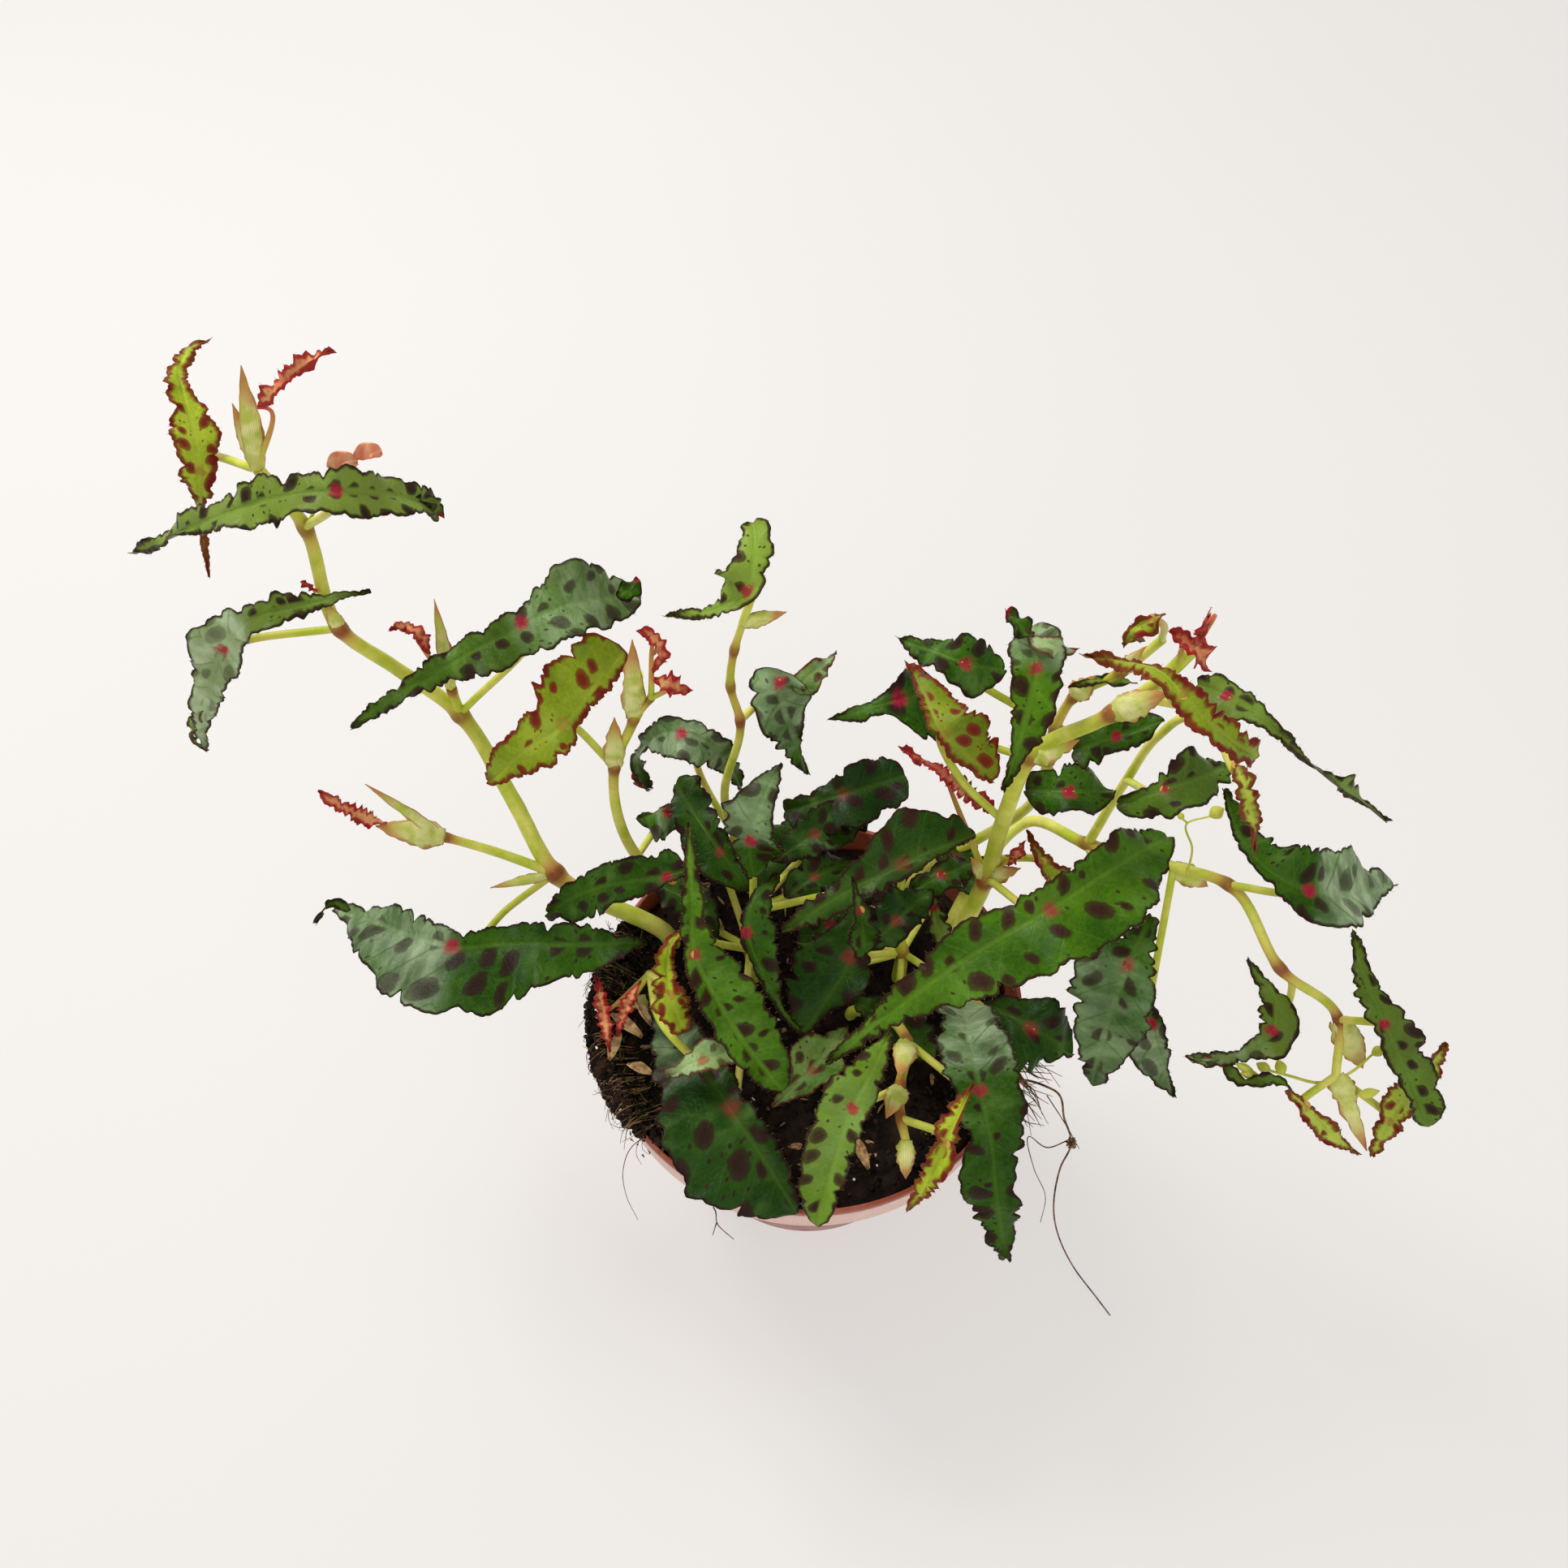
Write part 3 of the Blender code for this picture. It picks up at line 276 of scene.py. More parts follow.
DRAIN_RING = 27 * MM
DRAIN_TURN = 0.27
DRILL_DEPTH = 8 * BASE


def rounded(profile, size):
    """The profile with each of its inner corners cut by a small arc."""
    found = [Vector((*profile[0], 0))]
    for before, corner, after in zip(profile, profile[1:], profile[2:]):
        corner = Vector((*corner, 0))
        into = Vector((*before, 0)) - corner
        out = Vector((*after, 0)) - corner
        cut = min(size, into.length / SIDE_SHARE, out.length / SIDE_SHARE)
        first = corner + into.normalized() * cut
        last = corner + out.normalized() * cut
        for step in range(ROUND_STEPS + 1):
            t = step / ROUND_STEPS
            found.append(first * (1 - t) ** 2 + corner * 2 * t * (1 - t) + last * t * t)
    found.append(Vector((*profile[-1], 0)))
    return [(point.x, point.y) for point in found]


def turned(name, profile, turns):
    """A closed body turned about the pot's axis from a profile of radius and height."""
    points = []
    rings = []
    for radius, height in profile:
        if radius == 0:
            rings.append([len(points)] * turns)
            points.append((0, 0, height))
            continue
        rings.append([len(points) + k for k in range(turns)])
        for k in range(turns):
            turn = 2 * pi * k / turns
            points.append((radius * cos(turn), radius * sin(turn), height))
    faces = []
    for lower, upper in zip(rings, rings[1:]):
        for k in range(turns):
            after = (k + 1) % turns
            corners = [lower[k], lower[after], upper[after], upper[k]]
            faces.append(tuple(dict.fromkeys(corners)))
    return new_piece(name, points, faces)


def set_outward(piece):
    """Turns the faces of a closed body to look outward."""
    shape = bmesh.new()
    shape.from_mesh(piece.data)
    bmesh.ops.recalc_face_normals(shape, faces=shape.faces)
    shape.to_mesh(piece.data)
    shape.free()


def settle(piece):
    """Writes what the modifiers make into the piece's own mesh."""
    graph = bpy.context.evaluated_depsgraph_get()
    made = bpy.data.meshes.new_from_object(piece.evaluated_get(graph))
    piece.modifiers.clear()
    old = piece.data
    piece.data = made
    bpy.data.meshes.remove(old)


lip_foot = POT_HEIGHT - LIP_HEIGHT
pot = turned("pot_plastic", rounded([
    (0, 0), (FOOT_RADIUS, 0),
    (WALL_TOP_RADIUS, lip_foot), (LIP_FOOT_RADIUS, lip_foot), (RIM_RADIUS, POT_HEIGHT),
    (RIM_RADIUS - WALL, POT_HEIGHT), (LIP_FOOT_RADIUS - WALL, lip_foot + WALL),
    (WALL_TOP_RADIUS - WALL, lip_foot + WALL), (FOOT_RADIUS - WALL, BASE), (0, BASE)],
    ROUND), POT_TURNS)
set_outward(pot)
drills = []
for k in range(DRAINS):
    turn = 2 * pi * (k + DRAIN_TURN) / DRAINS
    bpy.ops.mesh.primitive_cylinder_add(
        vertices=DRAIN_SIDES, radius=DRAIN_RADIUS, depth=DRILL_DEPTH,
        location=(DRAIN_RING * cos(turn), DRAIN_RING * sin(turn), 0))
    drills.append(bpy.context.object)
    cut = pot.modifiers.new("drain", "BOOLEAN")
    cut.operation = "DIFFERENCE"
    cut.object = drills[-1]
    cut.solver = "EXACT"
settle(pot)
for drill in drills:
    bpy.data.objects.remove(drill)
pot.data.set_sharp_from_angle(angle=SHARP_EDGE)

plastic = Finish("pot_terracotta", specular=0.3)
where = plastic.place()
east, north, height = [
    plastic.node("ShaderNodeSeparateXYZ", {}, {0: where}, out=i) for i in range(3)]
chalk = plastic.cloud(where, 6 * MM, 5.0, 0.62).between(0.46, 0.72)
speck = plastic.cloud(where, 0.7 * MM, 2.0).between(0.62, 0.72)
away = plastic.node("ShaderNodeVectorMath", {"operation": "LENGTH"}, {
    0: plastic.node("ShaderNodeCombineXYZ", {}, {0: east, 1: north})}, out=1)
clay = plastic.mixed(tint(140, 62, 40), tint(160, 80, 58), plastic.cloud(where, 25 * MM))
# The outside of the lip is painted pale pink, a painted highlight where the light falls on it, and
# the chalky mottling is laid on most strongly there.
outside = (away - (height - lip_foot) * LIP_SLANT).between(
    LIP_FOOT_RADIUS - 0.8 * MM, LIP_FOOT_RADIUS - 0.3 * MM)
pale = outside * (1 - height.between(*LIP_HIGHLIGHT_END))
clay = plastic.mixed(clay, tint(228, 188, 174), pale * 0.92)
clay = plastic.mixed(clay, tint(236, 216, 206), chalk * (0.06 + 0.5 * pale))
# The inside of the wall is painted darker below the rim: painted shade, where little light reaches.
inside = 1 - (away - height * WALL_SLANT).between(FOOT_RADIUS - 0.7 * MM, FOOT_RADIUS - 0.3 * MM)
painted_inner_shade = (1 - height.between(*INNER_SHADE_END)) * inside
clay = plastic.mixed(clay, tint(70, 40, 32), painted_inner_shade * 0.75)
clay = plastic.mixed(clay, tint(92, 52, 42), speck * 0.5)
plastic.feed(plastic.shader, {
    "Base Color": clay, "Roughness": 0.36 + 0.22 * chalk + 0.1 * speck})
plastic.raised(plastic.cloud(where, 0.5 * MM, 3.0) * 0.5 + chalk * 0.3, 0.08 * MM, 0.5)
pot.data.materials.append(plastic.material)
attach(pot, "root")
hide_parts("pot")

# --- Peat -------------------------------------------------------------------------------------
# Moist, near-black peat that fills the pot to a finger's width below its rim and is heaped
# towards the left side. Its top is rough with lumps that are part of the same mass.
SOIL_LEVEL = 77 * MM
SOIL_RISE = 5 * MM
SOIL_GAP = 0.5 * MM
SLANT_GAP = 0.8 * MM
SOIL_LUMP = 0.9 * MM
SOIL_GRAIN = 1.3 * MM
SOIL_RINGS = 56
SOIL_TURNS = 160


def soil_top(x, y):
    """The height of the peat at a place, with its slope to the left, its lumps and its grain."""
    rise = SOIL_RISE * max(0.0, -x / RIM_RADIUS) ** 1.5
    lumps = SOIL_LUMP * (sin(x * 210 + 1) * cos(y * 170) + 0.5 * sin(y * 390 + x * 130))
    grain = noise.fractal(Vector((x, y, 0)) / (5 * MM), 0.7, 2.1, 5)
    return SOIL_LEVEL + rise + lumps + SOIL_GRAIN * grain


ledge = lip_foot + WALL + SOIL_GAP
edge = LIP_FOOT_RADIUS - WALL - SLANT_GAP
peat = turned("peat_heap", [
    (0, BASE + SOIL_GAP), (FOOT_RADIUS - WALL - SOIL_GAP, BASE + SOIL_GAP),
    (WALL_TOP_RADIUS - WALL - SLANT_GAP, ledge), (edge - SOIL_GAP, ledge),
    *((edge * (1 - i / SOIL_RINGS), SOIL_LEVEL) for i in range(SOIL_RINGS + 1))], SOIL_TURNS)
for vertex in peat.data.vertices:
    if vertex.co.z > ledge + SOIL_GAP:
        vertex.co.z = soil_top(vertex.co.x, vertex.co.y)
set_outward(peat)

earth = Finish("peat_moist", specular=0.1)
where = earth.place()
patches = earth.cloud(where, 9 * MM, 6.0, 0.7)
fibres = earth.cloud(earth.node("ShaderNodeMapping", {}, {0: where, 3: (1, 3.5, 1)}),
                     0.8 * MM, 4.0, 0.65)
brown = earth.mixed(tint(13, 9, 7), tint(46, 32, 24), patches.between(0.42, 0.66))
brown = earth.mixed(brown, tint(92, 66, 46), fibres.between(0.62, 0.76) * 0.7)
earth.feed(earth.shader, {"Base Color": brown, "Roughness": 0.62 + 0.3 * patches})
earth.raised(fibres * 0.5 + patches * 0.5, 0.5 * MM)
peat.data.materials.append(earth.material)
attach(peat, "root")
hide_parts("soil")

# --- Crumbs on the peat -----------------------------------------------------------------------
# Loose crumbs of peat, chips of tan bark and white grains of perlite, strewn over the top of the
# soil and half sunk in it.
GROUND_RINGS = 54
GROUND_TURNS = 90


def branch(tree, kind, settings, values):
    """Adds a node to a geometry tree and gives its sockets their values or links."""
    made = tree.nodes.new(kind)
    for key, value in settings.items():
        setattr(made, key, value)
    for key, value in values.items():
        if isinstance(value, bpy.types.NodeSocket):
            tree.links.new(value, made.inputs[key])
        else:
            made.inputs[key].default_value = value
    return made


def new_tree(name, inputs):
    """A geometry tree with named inputs, and the node that gives their values."""
    tree = bpy.data.node_groups.new(name, "GeometryNodeTree")
    tree.interface.new_socket("Geometry", in_out="OUTPUT", socket_type="NodeSocketGeometry")
    tree.interface.new_socket("Geometry", in_out="INPUT", socket_type="NodeSocketGeometry")
    for label, kind in inputs:
        tree.interface.new_socket(label, in_out="INPUT", socket_type="NodeSocket" + kind)
    return tree, tree.nodes.new("NodeGroupInput").outputs


def close_tree(tree, shape, material):
    """Ends a tree in plain, smooth faces of one material."""
    plain = branch(tree, "GeometryNodeRealizeInstances", {}, {0: shape}).outputs[0]
    dressed = branch(tree, "GeometryNodeSetMaterial", {}, {0: plain, 2: material}).outputs[0]
    branch(tree, "NodeGroupOutput", {}, {0: dressed})


def grow(piece, tree, values):
    """Runs a tree on a piece with the values of its named inputs, and keeps the plain mesh."""
    modifier = piece.modifiers.new(tree.name, "NODES")
    modifier.node_group = tree
    for item in tree.interface.items_tree:
        if item.in_out == "INPUT" and item.name in values:
            modifier[item.identifier] = values[item.name]
    settle(piece)


strew, given = new_tree("strewn_crumbs", [
    ("Density", "Float"), ("Seed", "Int"), ("Least", "Vector"), ("Most", "Vector"),
    ("Ragged", "Float"), ("Material", "Material")])
spread = branch(strew, "GeometryNodeDistributePointsOnFaces", {}, {
    0: given["Geometry"], 4: given["Density"], 6: given["Seed"]})
size = branch(strew, "FunctionNodeRandomValue", {"data_type": "FLOAT_VECTOR"}, {
    0: given["Least"], 1: given["Most"], 8: given["Seed"]})
spin = branch(strew, "FunctionNodeRandomValue", {"data_type": "FLOAT_VECTOR"}, {
    0: (0.0, 0.0, 0.0), 1: (2 * pi,) * 3, 8: given["Seed"]})
spin = branch(strew, "FunctionNodeEulerToRotation", {}, {0: spin.outputs[0]})
crumb = branch(strew, "GeometryNodeMeshIcoSphere", {}, {0: 1.0, 1: 2})
strewn = branch(strew, "GeometryNodeInstanceOnPoints", {}, {
    0: spread.outputs[0], 2: crumb.outputs[0], 5: spin.outputs[0], 6: size.outputs[0]})
strewn = branch(strew, "GeometryNodeRealizeInstances", {}, {0: strewn.outputs[0]})
rough = branch(strew, "ShaderNodeTexNoise", {}, {"Scale": 900.0, "Detail": 3.0})
rough = branch(strew, "ShaderNodeVectorMath", {"operation": "SUBTRACT"}, {
    0: rough.outputs[1], 1: (0.5, 0.5, 0.5)})
rough = branch(strew, "ShaderNodeVectorMath", {"operation": "SCALE"}, {
    0: rough.outputs[0], 3: given["Ragged"]})
strewn = branch(strew, "GeometryNodeSetPosition", {}, {0: strewn.outputs[0], 3: rough.outputs[0]})
close_tree(strew, strewn.outputs[0], given["Material"])


def peat_ground():
    """The points and faces of the top of the peat."""
    points = []
    for radius in range(GROUND_RINGS + 1):
        for k in range(GROUND_TURNS):
            turn = 2 * pi * k / GROUND_TURNS
            x = radius * MM * cos(turn)
            y = radius * MM * sin(turn)
            points.append((x, y, soil_top(x, y)))
    faces = []
    for i in range(GROUND_RINGS * GROUND_TURNS):
        after = i + 1 if (i + 1) % GROUND_TURNS else i + 1 - GROUND_TURNS
        faces.append((i, i + GROUND_TURNS, after + GROUND_TURNS, after))
    return points, faces


def strewn_over(ground, name, density, seed, least, most, ragged, finish):
    """Crumbs over a ground, density to the square metre, their half-sizes in mm."""
    piece = new_piece(name, *ground)
    grow(piece, strew, {
        "Density": density, "Seed": seed, "Least": tuple(v * MM for v in least),
        "Most": tuple(v * MM for v in most), "Ragged": ragged * MM, "Material": finish.material})
    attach(piece, "root")


def mottled(name, dark, light, size, ends, rough, specular=0.5, relief=0, stretch=None, detail=4.0):
    """A dry finish of two colours in patches of a size in mm.

    ends are the two values of the noise between which dark turns to light, rough the least
    roughness and what the noise adds to it, relief the height of the patches in mm, and stretch
    how much finer the patches are along each axis.
    """
    finish = Finish(name, specular=specular)
    where = finish.place()
    if stretch:
        where = finish.node("ShaderNodeMapping", {}, {0: where, 3: stretch})
    patch = finish.cloud(where, size * MM, detail)
    finish.feed(finish.shader, {
        "Base Color": finish.mixed(tint(*dark), tint(*light), patch.between(*ends)),
        "Roughness": rough[0] + rough[1] * patch})
    if relief:
        finish.raised(patch, relief * MM)
    return finish


crumbs = mottled("crumb_peat", (17, 12, 9), (70, 48, 33), 3, (0.42, 0.74), (0.7, 0.2), 0.12)
crumbs.raised(crumbs.cloud(crumbs.place(), 0.4 * MM), 0.2 * MM)
strewn_over(peat_ground(), "peat_crumbs", 115000, 4, (0.35, 0.3, 0.3), (1.5, 1.1, 0.9), 1.1,
            crumbs)

bark = mottled("bark_tan", (112, 72, 44), (196, 158, 112), 1.2, (0.35, 0.65), (0.75, 0.15),
               relief=0.25, stretch=(1, 4, 4))
strewn_over(peat_ground(), "bark_chips", 11000, 9, (1.1, 0.4, 0.12), (3.4, 1.2, 0.35), 0.5, bark)

perlite = mottled("perlite_white", (202, 196, 184), (244, 241, 234), 0.6, (0.35, 0.6),
                  (0.75, 0.2), relief=0.2, detail=3.0)
strewn_over(peat_ground(), "perlite_grains", 1500, 21, (0.3, 0.3, 0.25), (0.95, 0.85, 0.75), 0.6,
            perlite)

# --- Left cane --------------------------------------------------------------------------------
# A jointed, fleshy stem, yellow-green with brown-red joints. Leaves hang from it on stalks, each
# joint keeps a papery sheath, and crinkled young leaves open at its tips.
STEM_FOOT = 68
THICK = 2 * MM
THICK_SIDES = 18
THIN_SIDES = 14
STALK_RADIUS = 1.15 * MM
STALK_SHARE = 0.92
FUSED_SHARE = 0.75
STALK_LEAD = 6 * MM
SPROUT_LEAD = 2 * MM
STALK_SINK = 0.05 * MM
STALK_NECK = 0.12
NECK_LENGTH = 2 * MM
RING_STEP = 1.1 * MM
SWELL = 0.3
SWELL_LENGTH = 2.2 * MM
BLUSH_LENGTH = 8 * MM
BLADE_THICK = 0.5 * MM
MARGIN_THICK = 0.28 * MM
BLADE_STEP = 0.46 * MM
COLUMNS = (0.0, 0.1, 0.24, 0.4, 0.56, 0.72, 0.86, 0.95, 1.0)
BLADE_ENDS = 0.006
LOBES_PER_METRE = 84
LEAST_LOBES = 4
LOBE_ROUND = 2.2
RUFFLE = 1.5 * MM
RUFFLE_SHIFT = 0.3
QUILT = 0.32 * MM
GROOVE = 0.25 * MM
# How softly the painted sheen, a painted highlight, fades in and out along a blade.
PAINTED_SHEEN_EDGE = 0.08
TAIL_ROUND = 2 * MM
HEAD_ROUND = 5 * MM
LEAST_HALF = 0.35 * MM
VEIN_PITCH = 8.5
VEIN_SLANT = 0.75
SPOT_SPREAD = 0.32
HAIR_STEP = 5
HAIR_RADIUS = 0.06 * MM
HAIR_LENGTH = 0.55 * MM
HAIR_SPREAD = 0.35 * MM
SHEATH = (0.56, 0.8, 0.92, 0.86, 0.66, 0.4, 0.02)
SHEATH_THICK = 0.25 * MM
SHEATH_ROWS = 18
SHEATH_TURNS = 12
SHEATH_BOW = 0.12
SHEATH_WRAP = 215
SHEATH_OPENING = 90

Tone = namedtuple("Tone", "lobe_depth scallop scallop_depth deepest nick nick_depth frill cell")
TONES = {
    "dark": Tone(0.27, 5.2, 1.5, 0.34, 1.8, 0.28, 1.6, 4.3),
    "bright": Tone(0.24, 5.6, 1.35, 0.32, 1.9, 0.28, 1.5, 4.3),
    "young": Tone(0.34, 4.4, 1.9, 0.42, 1.6, 0.5, 2.0, 3.1),
    "pale": Tone(0.27, 4.8, 1.4, 0.34, 1.8, 0.28, 1.6, 4.3),
    "red": Tone(0.36, 2.6, 2.4, 0.5, 1.3, 0.8, 2.6, 3.0),
}


def stands(x, y, height):
    """A point given in mm from the middle of the pot's foot."""
    return Vector((x, y, height)) * MM


def placed(route):
    """The points of a route whose places are pixels with a height, or points already."""
    return [place if isinstance(place, Vector) else seen(*place) for place in route]


class Route:
    """A smooth curve through points, read by the share of its length."""

    STEPS = 12

    def __init__(self, points):
        spans = [(b - a).length for a, b in zip(points, points[1:])]
        slopes = []
        for i, point in enumerate(points):
            before = (point - points[i - 1]) / spans[i - 1] if i else None
            after = (points[i + 1] - point) / spans[i] if i < len(spans) else None
            if before is None or after is None:
                slopes.append(after if before is None else before)
            else:
                share = spans[i - 1] + spans[i]
                slopes.append((after * spans[i - 1] + before * spans[i]) / share)
        self.places = [points[0]]
        for i, span in enumerate(spans):
            for step in range(1, self.STEPS + 1):
                t = step / self.STEPS
                out = (1 + 2 * t) * (1 - t) ** 2 * points[i] + t * (1 - t) ** 2 * span * slopes[i]
                back = t * t * (3 - 2 * t) * points[i + 1] - t * t * (1 - t) * span * slopes[i + 1]
                self.places.append(out + back)
        self.runs = [0.0]
        for a, b in zip(self.places, self.places[1:]):
            self.runs.append(self.runs[-1] + (b - a).length)
        self.length = self.runs[-1]

    def share_at(self, index):
        """The share of the length at a point of the route, given by its number."""
        return self.runs[round(index * self.STEPS)] / self.length

    def at(self, share):
        """The place at a share of the length."""
        run = min(max(share, 0.0), 1.0) * self.length
        i = 0
        while i < len(self.runs) - 2 and self.runs[i + 1] < run:
            i += 1
        t = (run - self.runs[i]) / (self.runs[i + 1] - self.runs[i])
        return self.places[i].lerp(self.places[i + 1], t)

    def along(self, share):
        """The way that the route takes there."""
        near = 0.01
        return (self.at(share + near) - self.at(share - near)).normalized()


def smooth(values, share):
    """Reads evenly spaced values at a share of their run, rounding the corners between them."""
    place = min(max(share, 0.0), 1.0) * (len(values) - 1)
    i = min(int(place), len(values) - 2)
    t = place - i
    before = values[max(i - 1, 0)]
    after = values[min(i + 2, len(values) - 1)]
    slope_in = (values[i + 1] - before) / 2
    slope_out = (after - values[i]) / 2
    rise = values[i + 1] - values[i]
    return values[i] + t * (slope_in + t * (3 * rise - 2 * slope_in - slope_out
                                            + t * (slope_in + slope_out - 2 * rise)))


Leaf = namedtuple("Leaf", "name tone on knot route spot left right by fold fused sheen shade")
Stem = namedtuple("Stem", "name parent knot thick route knots")
Sheath = namedtuple("Sheath", "on knot width tip")


def leaf(name, tone, on, knot, route, spot, left, right, by=(), fold=8, fused=False, sheen=None,
         shade=0.0):
    """A blade's row: its route runs from the tail to the head.

    knot is the number of the point of its stem's route that the stalk grows from, by the points
    that the stalk passes, and spot the number of the point of the blade's route that it joins.
    left and right are the widths in mm to each side of the midrib, going from tail to head, at
    equal shares of its length with both ends. fold is the slope of each half in degrees, the
    painted sheen the two shares of the length between which the blade carries a painted
    highlight, and how strongly, and shade how much darker, below 0, or lighter it is than others
    of its tone.
    """
    left = [width * MM for width in left]
    right = [width * MM for width in right]
    by = placed(by)
    return Leaf(name, tone, on, knot, route, spot, left, right, by, fold, fused, sheen, shade)


def stem(name, thick, foot, route, knots):
    """A stem from its foot in the peat along its route.

    thick is the radius in mm at the soil and at the tip, foot the place of its foot in mm with
    the height to which it stands straight, and knots the points with a swelling.
    """
    x, y, height = foot
    route = [stands(x, y, STEM_FOOT), stands(x, y, height), *placed(route)]
    return Stem(name, None, None, [value * MM for value in thick], route, knots)


def twig(name, parent, knot, thick, route):
    """A side shoot from the knot of the parent that it names."""
    thick = [value * MM for value in thick]
    return Stem(name, parent, knot, thick, placed(route), (len(route),))


def sprout(on, knot, route, spot, left, right):
    """A crinkled young leaf."""
    name = f"{on}_sprout_{route[0][0]}"
    return leaf(name, "red", on, knot, route, spot, left, right, fused=True)


def stipule(on, knot, width, tip):
    """A papery sheath, as wide as given in mm, from a knot of its stem to its own tip."""
    return Sheath(on, knot, width * MM, tip)


class Blade:
    """The wavy, toothed surface of a leaf row."""

    def __init__(self, row):
        self.row = row
        self.route = Route(placed(row.route))
        self.spot = self.route.share_at(row.spot)
        self.lobes = max(LEAST_LOBES, round(self.route.length * LOBES_PER_METRE))
        self.tone = TONES[row.tone]
        self.phase = sum(ord(letter) for letter in row.name) % 7

    def facing(self, share):
        """The ways along the midrib, to its right and off the blade, which turns to the view."""
        place = self.route.at(share)
        along = self.route.along(share)
        face = Vector((0, 0, 0.6)) + 0.7 * (EYE - place).normalized()
        off = (face - along * face.dot(along)).normalized()
        return along, along.cross(off), off

    def under_spot(self, depth):
        """The place below the spot where the stalk joins."""
        return self.route.at(self.spot) - self.facing(self.spot)[2] * depth

    def reach(self, share, side):
        """The width from the midrib to the margin, with its lobes and its leaning teeth."""
        width = smooth(self.row.right if side > 0 else self.row.left, share)
        for run, rounding in ((share, TAIL_ROUND), (1 - share, HEAD_ROUND)):
            short = max(1 - run * self.route.length / rounding, 0.0)
            width *= sqrt(max(1 - short * short, 0.0))
        tone = self.tone
        run = share * self.route.length / MM
        drift = noise.noise(Vector((run / 9, side * 4.3, self.phase * 5.1)))
        bite = noise.noise(Vector((run / 6, side * 7.7, self.phase * 3.7)))
        lobe = self.tooth(share * self.lobes + 0.9 * drift + side * 0.2)
        scallop = self.tooth(run / tone.scallop + drift * 1.4 + side * 0.3)
        nick = self.tooth(run / tone.nick + 2 * drift)
        width *= 1.06 - tone.lobe_depth * (0.7 + 0.8 * bite) * (1 - lobe) + 0.06 * drift
        depth = min(tone.scallop_depth * MM * (0.7 + 1.1 * bite), tone.deepest * width)
        bead = min(tone.nick_depth * MM, 0.3 * width)
        width -= depth * (1 - scallop) + bead * (1 - nick)
        return max(width, LEAST_HALF)

    def tooth(self, turns):
        """From 0 in the notch between two rounded teeth to 1 on the brow of one."""
        return 1 - abs(2 * (turns % 1.0) - 1) ** LOBE_ROUND

    def rise(self, share, side, part, reach):
        """The height of the blade off its midrib: a trough with waves, frills and quilting."""
        waves = self.lobes * 0.5 * share + self.phase + (RUFFLE_SHIFT if side > 0 else 0.0)
        run = share * self.route.length / MM
        frill = noise.noise(Vector((run / 4.2, side * 3.1 + self.phase, part * 0.8)))
        vein = ((abs(run - self.spot * self.route.length / MM) - VEIN_SLANT * reach / MM)
                / VEIN_PITCH) % 1.0
        return (reach * tan(radians(self.row.fold)) + RUFFLE * part * sin(2 * pi * waves)
                + self.tone.frill * MM * frill * part ** 2
                + QUILT * sin(pi * vein) * sin(pi * part) - GROOVE * exp(-reach / MM))


def blade_piece(row, number):
    """The blade as a thin closed body that carries its own measures for the finish."""
    blade = Blade(row)
    count = max(12, round(blade.route.length / BLADE_STEP))
    ways = [(-1, part) for part in COLUMNS[:0:-1]] + [(1, part) for part in COLUMNS]
    wide = len(ways)
    top = []
    low = []
    measures = []
    marks = []
    tails = []
    for i in range(count + 1):
        share = BLADE_ENDS + (1 - 2 * BLADE_ENDS) * i / count
        along, side, off = blade.facing(share)
        centre = blade.route.at(share)
        reaches = {way: blade.reach(share, way) for way in (-1, 1)}
        # The share of painted sheen, a painted highlight, at this point of the blade.
        painted_sheen_share = 0.0
        if row.sheen:
            inside = min(share - row.sheen[0], row.sheen[1] - share) / PAINTED_SHEEN_EDGE
            painted_sheen_share = min(max(inside + 0.5, 0.0), 1.0) * row.sheen[2]
        for way, part in ways:
            reach = reaches[way] * part
            skin = (MARGIN_THICK + (BLADE_THICK - MARGIN_THICK) * (1 - part ** 2)) / 2
            place = centre + side * reach * way + off * blade.rise(share, way, part, reach)
            top.append(place + off * skin)
            low.append(place - off * skin)
            ends = min(share, 1 - share) * blade.route.length
            edge = min(reaches[way] - reach, ends + 0.3 * MM)
            measures.append(((share - blade.spot) * blade.route.length / MM,
                             reach * way / MM, edge / MM))
            marks.append((painted_sheen_share, number))
            tails.append(share * blade.route.length / MM)
    under = len(top)
    faces = []
    for i in range(count):
        for k in range(wide - 1):
            a = i * wide + k
            faces.append((a, a + 1, a + 1 + wide, a + wide))
            faces.append((a + under, a + wide + under, a + wide + 1 + under, a + 1 + under))
        a = i * wide
        faces.append((a, a + wide, a + wide + under, a + under))
        a += wide - 1
        faces.append((a + wide, a, a + under, a + wide + under))
    for k in range(wide - 1):
        faces.append((k + 1, k, k + under, k + 1 + under))
        a = count * wide + k
        faces.append((a, a + 1, a + 1 + under, a + under))
    widest = max(*row.left, *row.right) / MM
    piece = new_piece(row.name.replace("leaf", "blade"), top + low, faces)
    size = blade.tone.cell + SPOT_SPREAD * widest
    carry(piece, "look", [(row.shade, size, tail) for tail in tails] * 2)
    carry(piece, "blade", measures * 2)
    carry(piece, "marks", [(0.0, *mark) for mark in marks] + [(1.0, *mark) for mark in marks])
    return piece


def carry(piece, name, values):
    """Gives each point of the mesh three numbers under a name."""
    kept = piece.data.attributes.new(name, "FLOAT_VECTOR", "POINT")
    kept.data.foreach_set("vector", [number for value in values for number in value])


